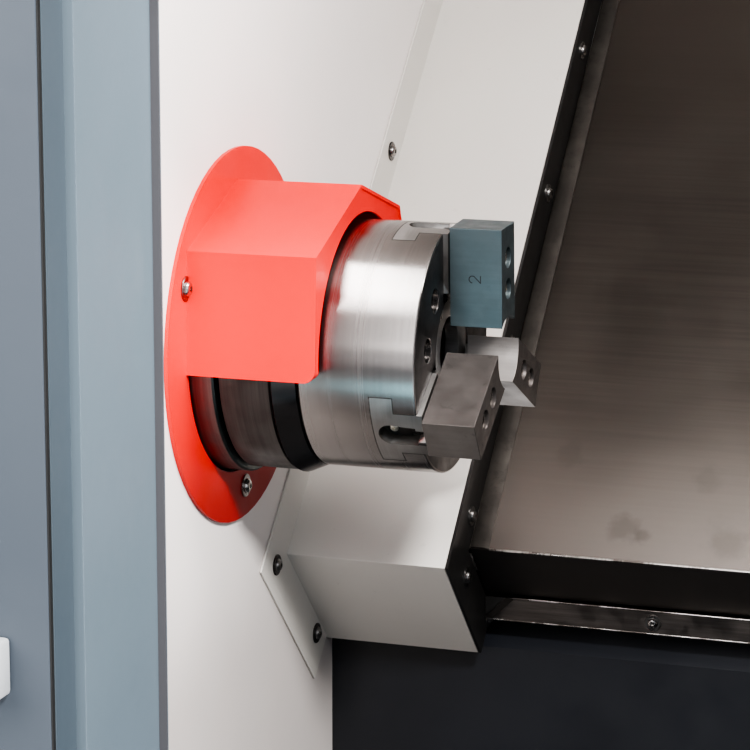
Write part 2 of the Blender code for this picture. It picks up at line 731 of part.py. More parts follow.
def drive_belt(paints):
    big_centre, small_centre = pulley_centres()
    left = big_centre.x - BELT_WIDTH / 2
    step = Vector((BELT_WIDTH, 0, 0))
    facet = 1 / math.cos(math.pi / SMALL)
    inside = belt_loop(big_centre, (SPINDLE_PULLEY_RADIUS + GAP) * facet,
                       small_centre, (MOTOR_PULLEY_RADIUS + GAP) * facet)
    outside = belt_loop(big_centre, (SPINDLE_PULLEY_RADIUS + GAP) * facet + BELT_THICKNESS,
                        small_centre, (MOTOR_PULLEY_RADIUS + GAP) * facet + BELT_THICKNESS)
    belt = make("drive_belt", extrude([Vector((left, y, z)) for y, z in outside], step), paints["rubber"])
    over = Vector((OVERRUN, 0, 0))
    cut(belt, extrude([Vector((left, y, z)) - over for y, z in inside], step + 2 * over))
    return belt


def spindle_motor(paints):
    """A foot-mounted motor with its shaft towards the pulley."""
    _, centre = pulley_centres()
    start = PULLEY_WIDTH / 2 + PULLEY_OFFSET
    end = start + MOTOR_LENGTH
    shoulder = MOTOR_RADIUS - SHOULDER
    bore = MOTOR_SHAFT - GAP
    profile = [(-PULLEY_WIDTH / 2, 0), (-PULLEY_WIDTH / 2, bore), (start, bore), (start, shoulder),
               (start + SHOULDER, MOTOR_RADIUS), (end - SHOULDER, MOTOR_RADIUS), (end, shoulder), (end, 0)]
    motor = make("spindle_motor", turned(profile, centre), paints["dark_blue"])
    low = centre.z - MOTOR_RADIUS - MOTOR_FOOT + GAP - CENTRE.z
    left = centre.x + start + SHOULDER * 2 - CENTRE.x
    foot = block((left, MOTOR_Y - MOTOR_RADIUS, low),
                 (left + MOTOR_LENGTH - SHOULDER * 4, MOTOR_Y + MOTOR_RADIUS, low + MOTOR_FOOT + SHOULDER * 2))
    return join(motor, foot)


# Bulkhead wall, guard and covers
def bulkhead_wall(paints):
    """The flat wall between the headstock and the work area, round the spindle nose."""
    rise = (BED_BACK - BED_TOP_WIDTH) * ROOT_TWO + BED_N
    clear = 2 * GAP
    front = -FASCIA_TO_AXIS + SHEET + GAP
    outline = [(front, ROOF_ABOVE_AXIS - SHEET - GAP - CHAMFER_DEPTH * 1.3),
               (front + CHAMFER_DEPTH, ROOF_ABOVE_AXIS - SHEET - GAP),
               (REAR_FACE - GAP, ROOF_ABOVE_AXIS - SHEET - GAP),
               (REAR_FACE - GAP, slope(BED_N, rise)[1] + clear),
               (slope(BED_N + clear, rise)[0], slope(BED_N, rise)[1] + clear),
               slope(BED_N + clear, BED_LOW), (BED_FRONT_FACE - clear, slope(BED_N, BED_LOW)[1]),
               (BED_FRONT_FACE - clear, FLOOR + SKIRT_TOP + GAP), (front, FLOOR + SKIRT_TOP + GAP)]
    wall = make("bulkhead_wall", along_x(outline, WALL_FACE - SHEET, WALL_FACE), paints["wall"])
    return cut(wall, rod(nose(WALL_FACE, 0, 0), (1, 0, 0), -SHEET - OVERRUN, OVERRUN,
                         NOSE_RING_RADIUS + GUARD_CLEARANCE, FINE))


def guard_outline():
    """The hood's outside from its front lower edge over the top to the back, as (y, z) points."""
    side = CHUCK_RADIUS + GUARD_SIDE
    shoulder = side - GUARD_SIDE / 4
    top = CHUCK_RADIUS + GUARD_TOP
    return [(-side, GUARD_LOW), (-shoulder, GUARD_SHOULDER), (GUARD_LOW / 3, top),
            (GUARD_SHOULDER + 3 * SHEET, top - GUARD_REAR_DROP), (side, GUARD_SHOULDER / 2), (side, GUARD_LOW)]


def chuck_guard(paints):
    """The welded chuck guard: a round flange on the wall, a folded hood and its front plate."""
    back = WALL_FACE + GAP
    disc = ring(nose(0, 0, 0), (1, 0, 0), back, back + SHEET, NOSE_RING_RADIUS + GUARD_CLEARANCE,
                GUARD_DISC_RADIUS, FINE)
    guard = make("chuck_guard", disc, paints["guard_red"])
    hood = guard_outline()
    join(guard, along_x(folded(hood[::-1], SHEET), back + SHEET / 2, GUARD_FRONT))
    opening = CHUCK_RADIUS + GUARD_OPENING
    raised = GUARD_LOW + SHEET / 2
    low = math.asin(raised / opening)
    middle = offset(hood[::-1], SHEET / 2)[::-1]
    edge = [(middle[0][0], raised)] + middle[1:-1] + [(middle[-1][0], raised)]
    plate = edge + arc((0, 0), opening, low, math.pi - low, MEDIUM)
    join(guard, along_x(plate, GUARD_FRONT - SHEET, GUARD_FRONT - SHEET / 4))
    corner_x = GUARD_FRONT - GUARD_CORNER
    corner = [(GUARD_FRONT + OVERRUN, GUARD_LOW - OVERRUN), (GUARD_FRONT + OVERRUN, GUARD_LOW + GUARD_CORNER)]
    corner += arc((corner_x, GUARD_LOW + GUARD_CORNER), GUARD_CORNER, 0, -math.pi / 2, 6)
    corner += [(corner_x, GUARD_LOW - OVERRUN)]
    side = CHUCK_RADIUS + GUARD_SIDE + OVERRUN
    return cut(guard, along_y(corner, -side, side))


def headstock_bed_cover(paints):
    """The cream folded cover over the bed beside the wall, with its lip on the wall."""
    start = WALL_FACE + GAP
    end = start + CREAM_LENGTH
    low = CREAM_N - CREAM_UNDERSIDE
    path = [(CREAM_N, COVER_TOP), (CREAM_N, CREAM_CORNER), (low, CREAM_CORNER)]
    sunk = COVER_SHEET / 2
    sheet = on_slope(folded(path[::-1], COVER_SHEET), start + sunk, end)
    cover = make("headstock_bed_cover", sheet, paints["cream"])
    top = COVER_TOP - SHEET
    back = low + SHEET
    lip = [(CREAM_N - sunk, top), (CREAM_N + WALL_LIP, top), (CREAM_N + WALL_LIP, CREAM_CORNER - WALL_LIP),
           (back, CREAM_CORNER - WALL_LIP), (back, CREAM_CORNER + sunk), (CREAM_N - sunk, CREAM_CORNER + sunk)]
    return join(cover, on_slope(lip, start, start + COVER_SHEET))


def way_cover_end_plate(paints):
    """The black plate on the cream cover's end, which holds the wiper of the steel cover."""
    start = WALL_FACE + CREAM_LENGTH + 2 * GAP
    end = start + END_PLATE
    low = CREAM_N - CREAM_UNDERSIDE
    inner = CREAM_CORNER + END_BAND
    outline = [(CREAM_N, COVER_TOP), (CREAM_N, CREAM_CORNER), (low, CREAM_CORNER), (low, inner),
               (STEEL_N, inner), (STEEL_N, COVER_TOP)]
    return make("way_cover_end_plate", on_slope(outline, start, end), paints["black"])


def cover_section(name, paints, left, right, level):
    """One telescopic section: the slanted face and its folded lower and upper returns."""
    top = STEEL_N - level * COVER_STEP
    low = STEEL_LOW + level * COVER_STEP
    high = COVER_TOP - level * COVER_STEP
    path = [(top - COVER_RETURN, low), (top, low), (top, high), (top - COVER_RETURN / 3, high)]
    outline = folded(path, COVER_SHEET)
    return make(name, on_slope(outline, left, right), paints["way_steel"])


def way_covers(paints, saddle):
    """Fixed sections at both ends, and one on each side of the saddle that slides under them."""
    left = WALL_FACE + CREAM_LENGTH + END_PLATE + 3 * GAP
    fixed_end = left + FIXED_COVER_LENGTH
    right = WORK_LENGTH - SHEET - GAP * 2
    fixed = cover_section("way_cover_left_fixed", paints, left, fixed_end, 0)
    inset = COVER_SHEET / 4
    join(fixed, slope_box(left + inset, left + COVER_RIM, STEEL_N - COVER_SHEET / 2, STEEL_N + RIM_RAISE,
                          STEEL_LOW + inset, COVER_TOP - inset))
    cover_section("way_cover_right_fixed", paints, SADDLE_RIGHT + SLIDE_MARGIN, right, 0)
    moving_left = cover_section("way_cover_left_moving", paints, fixed_end - COVER_OVERLAP,
                                SADDLE_LEFT + SLIDE_MARGIN / 2, 1)
    moving_right = cover_section("way_cover_right_moving", paints, SADDLE_RIGHT - SLIDE_MARGIN / 2,
                                 right - COVER_OVERLAP, 1)
    for piece in (moving_left, moving_right):
        piece.parent = saddle


def cover_gutter(paints):
    """The strip screwed on the bed under the steel cover, folded up to an upright lip."""
    left = WALL_FACE + CREAM_LENGTH + END_PLATE + 3 * GAP
    right = WORK_LENGTH - SHEET - GAP * 2
    front = BED_FRONT_FACE - GUTTER_FRONT
    top = slope(BED_N, BED_LOW)[1] + GUTTER_TOP
    low = top - GUTTER_HEIGHT
    seat = BED_N + GAP
    path = [(front, top), (front, low), slope(seat, low * ROOT_TWO - seat), slope(seat, GUTTER_END)]
    return make("cover_gutter", along_x(folded(path, COVER_SHEET), left, right), paints["way_steel"])


# Saddle and turret
def z_screw(paints):
    """The ballscrew that drives the saddle, turning in the bed's brackets."""
    centre = nose(0, *slope(SCREW_N, SCREW_PLACE))
    screw = rod(centre, (1, 0, 0), SCREW_LEFT + GAP, WORK_LENGTH, SCREW_RADIUS, SMALL)
    return make("z_screw", screw, paints["ground_steel"], centre)


def z_motor(paints):
    half = Z_MOTOR_WIDTH / 2
    start = WORK_LENGTH + GAP
    shape = slope_box(start, start + Z_MOTOR_LENGTH, SCREW_N - half / 2, SCREW_N + half * 1.5,
                      SCREW_PLACE - half, SCREW_PLACE + half)
    return soften(make("z_motor", shape, paints["black"]), SHOULDER / 2)


def make_saddle(paints):
    """The saddle plate, with the nut's boss that the screw passes through."""
    low = STEEL_LOW + 2 * COVER_STEP + COVER_SHEET
    high = COVER_TOP - SADDLE_TOP_SPAN
    shape = slope_box(SADDLE_LEFT, SADDLE_RIGHT, SADDLE_N - SADDLE_THICKNESS, SADDLE_N, low, high)
    saddle = make("saddle", shape, paints["cast_grey"], nose(SADDLE_LEFT, *slope(SADDLE_N, 0)))
    middle = (SADDLE_LEFT + SADDLE_RIGHT) / 2
    nut = SCREW_RADIUS * 2
    join(saddle, slope_box(middle - BRACKET_WIDTH / 2, middle + BRACKET_WIDTH / 2, SCREW_N - nut,
                           SADDLE_N - SADDLE_THICKNESS + OVERRUN, SCREW_PLACE - nut, SCREW_PLACE + nut))
    centre = nose(middle, *slope(SCREW_N, SCREW_PLACE))
    reach = BRACKET_WIDTH / 2 + OVERRUN
    cut(saddle, rod(centre, (1, 0, 0), -reach, reach, SCREW_RADIUS + GAP, MEDIUM))
    for truck in guide_trucks():
        join(saddle, truck)
    return saddle


def guide_trucks():
    """Four recirculating trucks that straddle the rails under the saddle."""
    trucks = []
    half = TRUCK_WIDTH / 2
    low = BED_N + TRUCK_LOW
    high = SADDLE_N - SADDLE_THICKNESS + OVERRUN
    rail = RAIL_WIDTH / 2 + GAP
    roof = BED_N + RAIL_HEIGHT + 2 * GAP
    for s in (RAIL_LOW, RAIL_HIGH):
        for left in (SADDLE_LEFT + SOFT_EDGE, SADDLE_RIGHT - TRUCK_LENGTH - SOFT_EDGE):
            outline = [(low, s - half), (high, s - half), (high, s + half), (low, s + half),
                       (low, s + rail), (roof, s + rail), (roof, s - rail), (low, s - rail)]
            trucks.append(on_slope(outline, left, left + TRUCK_LENGTH))
    return trucks


def make_cross_slide(paints, saddle):
    low = SADDLE_N + GAP
    shape = slope_box(SADDLE_LEFT + SLIDE_MARGIN, SADDLE_RIGHT - SLIDE_MARGIN, low, low + SLIDE_THICKNESS,
                      SLIDE_LOW, SLIDE_LOW + SLIDE_LENGTH)
    slide = make("cross_slide", shape, paints["cast_grey"], nose(SADDLE_LEFT, *slope(low, SLIDE_LOW)), saddle)
    return soften(slide, SHOULDER / 2)


def turret_body(paints, slide):
    """The indexing head's housing, standing on the cross slide, with its round neck."""
    left = TURRET_FACE + TURRET_DISC_WIDTH + TURRET_NECK
    right = left + TURRET_BODY_LENGTH
    low = SADDLE_N + 2 * GAP + SLIDE_THICKNESS
    half = TURRET_BODY_HALF
    chamfer = TURRET_BODY_CHAMFER
    s = TURRET_CLIMB
    raised = low + SLIDE_GUIDE / 2
    outline = [(raised, s - half), (half - chamfer, s - half), (half, s - half + chamfer),
               (half, s + half - chamfer), (half - chamfer, s + half), (raised, s + half)]
    body = make("turret_body", on_slope(outline, left, right), paints["cast_grey"], None, slide)
    neck = rod(nose(0, *slope(0, s)), (1, 0, 0), left - TURRET_NECK + GAP, left + OVERRUN,
               TURRET_NECK_RADIUS, MEDIUM)
    join(body, neck)
    foot_right = SADDLE_RIGHT - SLIDE_MARGIN
    wide = half + SLIDE_GUIDE / 4
    foot = [(low, s - wide), (low + SLIDE_GUIDE, s - wide), (low + SLIDE_GUIDE, s + wide), (low, s + wide)]
    return join(body, on_slope(foot, left + OVERRUN, foot_right))


def turret_centre():
    return nose(TURRET_FACE, *slope(0, TURRET_CLIMB))


def station_angles():
    return [TOOL_STATION + math.tau * i / TURRET_STATIONS for i in range(TURRET_STATIONS)]


def make_turret_disc(paints, slide):
    """A twelve-sided disc with a tool slot across each flat."""
    centre = turret_centre()
    corner = TURRET_RADIUS / math.cos(math.pi / TURRET_STATIONS)
    corners = [centre + radial(angle + math.pi / TURRET_STATIONS) * corner for angle in station_angles()]
    disc = make("turret_disc", extrude(corners, Vector((TURRET_DISC_WIDTH, 0, 0))),
                paints["ground_steel"], centre, slide)
    half = TOOL_SLOT_WIDTH / 2
    inner = TURRET_RADIUS - TOOL_SLOT_DEPTH
    for angle in station_angles():
        floor = centre + radial(angle) * inner - Vector((OVERRUN, 0, 0))
        points = [floor - across(angle) * half, floor + across(angle) * half,
                  floor + across(angle) * half + radial(angle) * (TOOL_SLOT_DEPTH + SHOULDER),
                  floor - across(angle) * half + radial(angle) * (TOOL_SLOT_DEPTH + SHOULDER)]
        cut(disc, extrude(points, Vector((TURRET_DISC_WIDTH * 2 / 3, 0, 0))))
    hub = TURRET_RADIUS / 3
    cut(disc, rod(centre, (1, 0, 0), -OVERRUN, SHOULDER, hub, COARSE))
    return disc


def tools(paints, disc):
    """Two square shank tools, each lying on the floor of its slot in the disc."""
    centre = turret_centre()
    half = TOOL_SLOT_WIDTH / 2 - GAP
    for name, angle in (("turning_tool", TOOL_STATION), ("facing_tool", TOOL_STATION + math.pi / 2)):
        start = centre + radial(angle) * (TURRET_RADIUS - TOOL_SLOT_DEPTH + GAP) - Vector((TOOL_REACH, 0, 0))
        side = across(angle) * half
        rise = radial(angle) * TOOL_HEIGHT
        shank = extrude([start - side, start + side, start + side + rise, start - side + rise],
                        Vector((TOOL_LENGTH * 2 / 3, 0, 0)))
        make(name, shank, paints["black_oxide"], centre, disc)


# Enclosure
def front_fascia(paints):
    """The front panel with the door opening and the deep folded jambs round it."""
    front = -FASCIA_TO_AXIS
    low = FLOOR + SKIRT_TOP + GAP
    panel = make("front_fascia", block((LEFT_END, front, low), (RIGHT_END, front + SHEET, FASCIA_TOP)),
                 paints["fascia"])
    depth = front + JAMB_DEPTH
    frame = block((OPENING_LEFT - SHEET, front + SHEET / 2, OPENING_BOTTOM - SHEET),
                  (OPENING_RIGHT + SHEET, depth, OPENING_TOP + SHEET))
    join(panel, frame)
    lip = JAMB_LIP
    cut(panel, block((OPENING_LEFT, front - OVERRUN, OPENING_BOTTOM),
                     (OPENING_RIGHT, depth - SHEET, OPENING_TOP)))
    return cut(panel, block((OPENING_LEFT + lip, front, OPENING_BOTTOM + lip),
                            (OPENING_RIGHT - lip, depth + OVERRUN, OPENING_TOP - lip)))


def lower_apron(paints):
    """The skirt panel under the fascia, with the slot for the coolant tank."""
    front = -FASCIA_TO_AXIS
    apron = make("lower_apron", block((LEFT_END, front, FLOOR + SKIRT_BOTTOM),
                                      (RIGHT_END, front + SHEET, FLOOR + SKIRT_TOP)), paints["dark_base"])
    return cut(apron, block((TANK_LEFT - TANK_FLANGE / 3, front - OVERRUN, PLINTH_TOP - TANK_FLANGE / 3),
                            (TANK_RIGHT + TANK_FLANGE / 3, front + SHEET + OVERRUN, FLOOR + TANK_TOP)))


def coolant_tank(paints):
    """The open chip and coolant tank that pulls out to the front."""
    front = -FASCIA_TO_AXIS - SHEET - GAP
    low = PLINTH_TOP + GAP
    high = FLOOR + TANK_TOP - 2 * GAP
    back = TANK_BACK
    tank = make("coolant_tank", block((TANK_LEFT, front + SHEET / 2, low), (TANK_RIGHT, back, high)),
                paints["dark_base"], nose(TANK_LEFT, front, low))
    join(tank, block((TANK_LEFT - TANK_FLANGE, front, low - TANK_FLANGE),
                     (TANK_RIGHT + TANK_FLANGE, front + SHEET, FLOOR + SKIRT_TOP - TANK_FLANGE / 2)))
    cut(tank, block((TANK_LEFT + SHEET, front + 2 * SHEET, low + SHEET),
                    (TANK_RIGHT - SHEET, back - SHEET, high + OVERRUN)))
    middle = (TANK_LEFT + TANK_RIGHT) / 2
    grip_low = (low + high) / 2
    half = TANK_GRIP_WIDTH / 2
    return cut(tank, block((middle - half, front - OVERRUN, grip_low),
                           (middle + half, front + 2 * SHEET + OVERRUN, grip_low + TANK_GRIP_HEIGHT)))


def end_cover(name, paints, outer, inward):
    """A side panel of the enclosure, with a flange folded in along its edges."""
    inner = outer + inward * SHEET
    tip = inner + inward * END_FLANGE
    panel = make(name, along_x(side_outline(0), outer, inner), paints["enclosure"])
    join(panel, along_x(side_outline(SHEET + 2 * GAP), inner - inward * SHEET / 2, tip))
    return cut(panel, along_x(side_outline(2 * SHEET + 2 * GAP), inner, tip + inward * OVERRUN))


def end_covers(paints):
    end_cover("left_end_cover", paints, LEFT_END - GAP - SHEET, 1)
    end_cover("right_end_cover", paints, RIGHT_END + GAP + SHEET, -1)


def roof_cover(paints):
    """The roof and its slanted front, folded from one sheet."""
    front = -FASCIA_TO_AXIS
    path = [(AXIS_TO_REAR - SHEET - GAP, ROOF_ABOVE_AXIS), (front + CHAMFER_DEPTH, ROOF_ABOVE_AXIS),
            (front, FASCIA_TOP + SHEET)]
    outline = folded(path, SHEET)
    return make("roof_cover", along_x(outline, LEFT_END, RIGHT_END), paints["enclosure"])


def rear_cover(paints):
    return make("rear_cover", block((LEFT_END, REAR_FACE, FLOOR + SKIRT_BOTTOM),
                                    (RIGHT_END, AXIS_TO_REAR, ROOF_ABOVE_AXIS)), paints["enclosure"])


def work_area_liner(paints):
    """The splash wall behind the covers, folded up to the roof, and the right wall welded to it."""
    left = WALL_FACE + GAP
    right = WORK_LENGTH
    upright = slope(SPLASH_N, SPLASH_END)[0]
    roof = ROOF_ABOVE_AXIS - SHEET - GAP
    path = [(upright, roof), slope(SPLASH_N, SPLASH_END), slope(SPLASH_N, COVER_TOP + OVERRUN)]
    splash = along_x(folded(path[::-1], SHEET), left, right - SHEET / 2)
    liner = make("work_area_liner", splash, paints["wall"])
    front = -FASCIA_TO_AXIS + SHEET + GAP
    clear = 2 * GAP
    roof = roof - SHEET
    bed_side = BED_FRONT_FACE - clear - GUTTER_FRONT * 2
    under = BED_N + BRACKET_HEIGHT + OVERRUN
    low = FLOOR + SKIRT_TOP + GAP
    outline = [(front, roof - CHAMFER_DEPTH * 1.3), (front + CHAMFER_DEPTH, roof), (upright - SHEET / 2, roof),
               slope(SPLASH_N + SHEET / 2, SPLASH_END), slope(SPLASH_N + SHEET / 2, COVER_TOP + 2 * OVERRUN),
               slope(under, COVER_TOP + 2 * OVERRUN), slope(under, BED_LOW + BED_WALL),
               slope(BED_N + clear, BED_LOW), (bed_side, slope(BED_N, BED_LOW)[1]), (bed_side, low),
               (front, low)]
    return join(liner, along_x(outline, right - SHEET, right))


def door_parts(paints):
    """The sliding door, open at the left, with its window and pull handle."""
    front = -FASCIA_TO_AXIS - DOOR_TRACK_GAP - DOOR_THICKNESS
    back = front + DOOR_THICKNESS
    width = OPENING_RIGHT - OPENING_LEFT + 2 * DOOR_OVERLAP - 2 * (OPENING_LEFT - OPEN_DOOR_EDGE)
    right = OPEN_DOOR_EDGE
    left = right - width
    low = OPENING_BOTTOM - TRACK_HEIGHT
    high = OPENING_TOP + TRACK_HEIGHT
    leaf = make("door_leaf", block((left, front, low), (right, back, high)), paints["door"],
                nose(right, front, low))
    cut(leaf, block((left + WINDOW_MARGIN_SIDE, front - OVERRUN, low + WINDOW_MARGIN_BOTTOM),
                    (right - WINDOW_MARGIN_SIDE, back + OVERRUN, high - WINDOW_MARGIN_TOP)))
    pane = block((left + WINDOW_MARGIN_SIDE + GAP, front + GLASS, low + WINDOW_MARGIN_BOTTOM + GAP),
                 (right - WINDOW_MARGIN_SIDE - GAP, front + 2 * GLASS, high - WINDOW_MARGIN_TOP - GAP))
    window = make("door_window", pane, paints["glass"])
    grip_right = right - HANDLE_INSET
    grip_left = grip_right - HANDLE_LENGTH
    outer = front - HANDLE_STANDOFF
    grip = block((grip_left, outer, HANDLE_TOP - HANDLE_HEIGHT), (grip_right, front - GAP, HANDLE_TOP))
    handle = make("door_handle", grip, paints["handle_grey"])
    cut(handle, block((grip_left + HANDLE_HEIGHT, outer + HANDLE_GRIP, HANDLE_TOP - HANDLE_HEIGHT * 2),
                      (grip_right - HANDLE_HEIGHT, front + OVERRUN, HANDLE_TOP + HANDLE_HEIGHT)))
    soften(handle, SHOULDER / 4, 2)
    for piece in (window, handle):
        piece.parent = leaf
        piece.matrix_parent_inverse = Matrix.Translation(-leaf.location)
    return leaf


def door_tracks(paints):
    """The upper and lower channels on the fascia that guide the door's edges."""
    front = -FASCIA_TO_AXIS - DOOR_TRACK_GAP - DOOR_THICKNESS - TRACK_WALL - DOOR_TRACK_GAP / 2
    back = -FASCIA_TO_AXIS - GAP
    right = OPENING_RIGHT + DOOR_OVERLAP
    for name, edge, inward in (("lower_door_track", OPENING_BOTTOM - TRACK_HEIGHT, 1),
                               ("upper_door_track", OPENING_TOP + TRACK_HEIGHT, -1)):
        web = edge - inward * (TRACK_WALL + GAP)
        tip = edge + inward * TRACK_LIP
        path = [(back, tip), (back, web), (front, web), (front, tip)]
        outline = folded(path, -inward * TRACK_WALL)
        make(name, along_x(outline, LEFT_END, right), paints["zinc"])


# Controls and cabinet
def control_panel(paints):
    """The operator's panel: a shallow housing with a recessed screen."""
    front = -FASCIA_TO_AXIS - PANEL_DEPTH
    right = RIGHT_END - PANEL_MARGIN
    left = right - PANEL_WIDTH
    top = PANEL_BOTTOM + PANEL_HEIGHT
    panel = make("control_panel", block((left, front, PANEL_BOTTOM), (right, -FASCIA_TO_AXIS - GAP, top)),
                 paints["panel"])
    soften(panel, SHOULDER / 3, 2)
    middle = (left + right) / 2
    high = top - SCREEN_DROP
    cut(panel, block((middle - SCREEN_WIDTH / 2, front - OVERRUN, high - SCREEN_HEIGHT),
                     (middle + SCREEN_WIDTH / 2, front + SCREEN_RECESS, high)))
    row = PANEL_BOTTOM + CONTROL_ROW
    controls = [("emergency_stop", middle - CONTROL_SPACING, STOP_STEM, paints["stop_red"],
                 [(0, 0), (0, STOP_STEM), (STOP_REACH / 3, STOP_STEM), (STOP_REACH / 2, STOP_RADIUS),
                  (STOP_REACH * 0.8, STOP_RADIUS), (STOP_REACH, STOP_RADIUS * 0.8), (STOP_REACH, 0)]),
                ("override_knob", middle + CONTROL_SPACING, KNOB_RADIUS, paints["black_plastic"],
                 [(0, 0), (0, KNOB_RADIUS), (KNOB_REACH / 4, KNOB_RADIUS), (KNOB_REACH / 3, KNOB_RADIUS * 0.8),
                  (KNOB_REACH - SOFT_EDGE, KNOB_RADIUS * 0.7), (KNOB_REACH, KNOB_RADIUS * 0.6),
                  (KNOB_REACH, 0)])]
    for name, x, radius, material, profile in controls:
        centre = nose(x, front, row)
        cut(panel, rod(centre, (0, -1, 0), -CONTROL_SINK - STOP_TRAVEL, OVERRUN, radius + 2 * GAP, COARSE))
        sunk = [(along - CONTROL_SINK, r) for along, r in profile[:2]] + profile[2:]
        make(name, turned(sunk, centre, (0, -1, 0), COARSE), material, centre, panel)
    return panel


def electrical_cabinet(paints):
    """The cabinet on the back: an open shell and its hinged door with a latch."""
    front = AXIS_TO_REAR + GAP
    back = AXIS_TO_REAR + CABINET_DEPTH
    left = CABINET_LEFT
    right = left + CABINET_WIDTH
    low = FLOOR + CABINET_BOTTOM
    high = low + CABINET_HEIGHT
    shell = make("cabinet_body", block((left, front, low), (right, back, high)), paints["enclosure"])
    cut(shell, block((left + SHEET, front + SHEET, low + SHEET), (right - SHEET, back + OVERRUN, high - SHEET)))
    hinge = nose(right, back, low)
    door = make("cabinet_door", block((left, back + GAP, low), (right, back + CABINET_DOOR, high)),
                paints["enclosure"], hinge)
    middle = (low + high) / 2
    latch = block((left + LATCH_WIDTH, back + CABINET_DOOR - OVERRUN, middle - LATCH_HEIGHT / 2),
                  (left + 2 * LATCH_WIDTH, back + CABINET_DOOR + LATCH_REACH, middle + LATCH_HEIGHT / 2))
    return join(door, latch)


def jaws(paints, body):
    """Three master jaws in the chuck's slots, each with its top jaw."""
    foot = MASTER_FOOT_WIDTH / 2
    neck = MASTER_NECK_WIDTH / 2
    master = t_slot(neck, MASTER_NECK_DEPTH, foot, MASTER_FOOT_DEPTH, MASTER_PROUD)
    rounded = arc((-NUT_DEPTH + NUT_WIDTH / 2, 0), NUT_WIDTH / 2, math.pi / 2, math.pi * 3 / 2, 6)
    nut = [(MASTER_PROUD + OVERRUN, -NUT_NECK_WIDTH / 2), (MASTER_PROUD + OVERRUN, NUT_NECK_WIDTH / 2),
           (-NUT_NECK_DEPTH, NUT_NECK_WIDTH / 2), (-NUT_NECK_DEPTH, NUT_WIDTH / 2)]
    nut += rounded + [(-NUT_NECK_DEPTH, -NUT_WIDTH / 2), (-NUT_NECK_DEPTH, -NUT_NECK_WIDTH / 2)]
    top_outline = [(MASTER_PROUD + GAP, -JAW_WIDTH / 2), (MASTER_PROUD + GAP + JAW_HEIGHT, -JAW_WIDTH / 2),
                   (MASTER_PROUD + GAP + JAW_HEIGHT, JAW_WIDTH / 2), (MASTER_PROUD + GAP, JAW_WIDTH / 2)]
    for number, angle in enumerate(JAW_ANGLES, 1):
        place = nose(0, 0, 0) + radial(angle) * JAW_OUTER
        reach = CHUCK_RADIUS + OVERRUN
        lower = make(f"master_jaw_{number}", jaw_prism(master, angle, MASTER_INNER, reach),
                     paints["ground_steel"], place, body)
        cut(lower, ring(nose(0, 0, 0), (1, 0, 0), -CHUCK_LENGTH, reach, CHUCK_RADIUS, 2 * reach, FINE))
        cut(lower, jaw_prism(nut, angle, MASTER_INNER + OVERRUN * 2, reach + OVERRUN))
        upper = make(f"top_jaw_{number}", jaw_prism(top_outline, angle, JAW_INNER, JAW_OUTER),
                     paints["jaw_steel"], place)
        upper.parent = lower
        upper.matrix_parent_inverse = lower.matrix_world.inverted()
        centre = nose(0, 0, 0)
        cut(upper, rod(centre, (1, 0, 0), -OVERRUN, CHUCK_LENGTH, JAW_BORE, FINE))
        end = MASTER_PROUD + GAP + JAW_HEIGHT
        for distance in JAW_BOLTS:
            cut(upper, rod(centre + radial(angle) * distance, (1, 0, 0), end - JAW_BOLT_DEPTH, end + OVERRUN,
                           JAW_BOLT_RADIUS))


def make_paints():
    return {
        "navy": paint("navy", (0.012, 0.014, 0.020), 0.5),
        "zinc": paint("zinc", (0.45, 0.46, 0.47), 0.4, 0.8),
        "steel": paint("steel", (0.42, 0.42, 0.42), 0.35, 1.0),
        "ground_steel": paint("ground_steel", (0.36, 0.35, 0.34), 0.3, 1.0),
        "bright_steel": paint("bright_steel", (0.62, 0.60, 0.58), 0.2, 1.0),
        "jaw_steel": paint("jaw_steel", (0.20, 0.19, 0.18), 0.4, 1.0),
        "way_steel": paint("way_steel", (0.16, 0.15, 0.14), 0.4, 0.9),
        "black_oxide": paint("black_oxide", (0.035, 0.035, 0.038), 0.4, 0.6),
        "aluminium": paint("aluminium", (0.60, 0.61, 0.62), 0.35, 1.0),
        "cast_grey": paint("cast_grey", (0.28, 0.30, 0.31), 0.55),
        "dark_blue": paint("dark_blue", (0.05, 0.07, 0.10), 0.5),
        "black": paint("black", (0.015, 0.014, 0.014), 0.5),
        "black_plastic": paint("black_plastic", (0.02, 0.02, 0.02), 0.45),
        "rubber": paint("rubber", (0.012, 0.012, 0.012), 0.8),
        "stop_red": paint("stop_red", (0.70, 0.02, 0.015), 0.3),
        "wall": paint("wall", (0.80, 0.74, 0.71), 0.45),
        "cream": paint("cream", (0.70, 0.68, 0.63), 0.45),
        "guard_red": paint("guard_red", (0.90, 0.06, 0.045), 0.4),
        "fascia": paint("fascia", (0.27, 0.33, 0.36), 0.45),
        "door": paint("door", (0.25, 0.31, 0.34), 0.45),
        "enclosure": paint("enclosure", (0.66, 0.67, 0.66), 0.45),
        "dark_base": paint("dark_base", (0.05, 0.055, 0.06), 0.5),
        "handle_grey": paint("handle_grey", (0.60, 0.62, 0.64), 0.35, 0.5),
        "panel": paint("panel", (0.10, 0.11, 0.12), 0.5),
        "glass": paint("glass", (0.60, 0.66, 0.66), 0.05, 0.0, 0.35),
    }


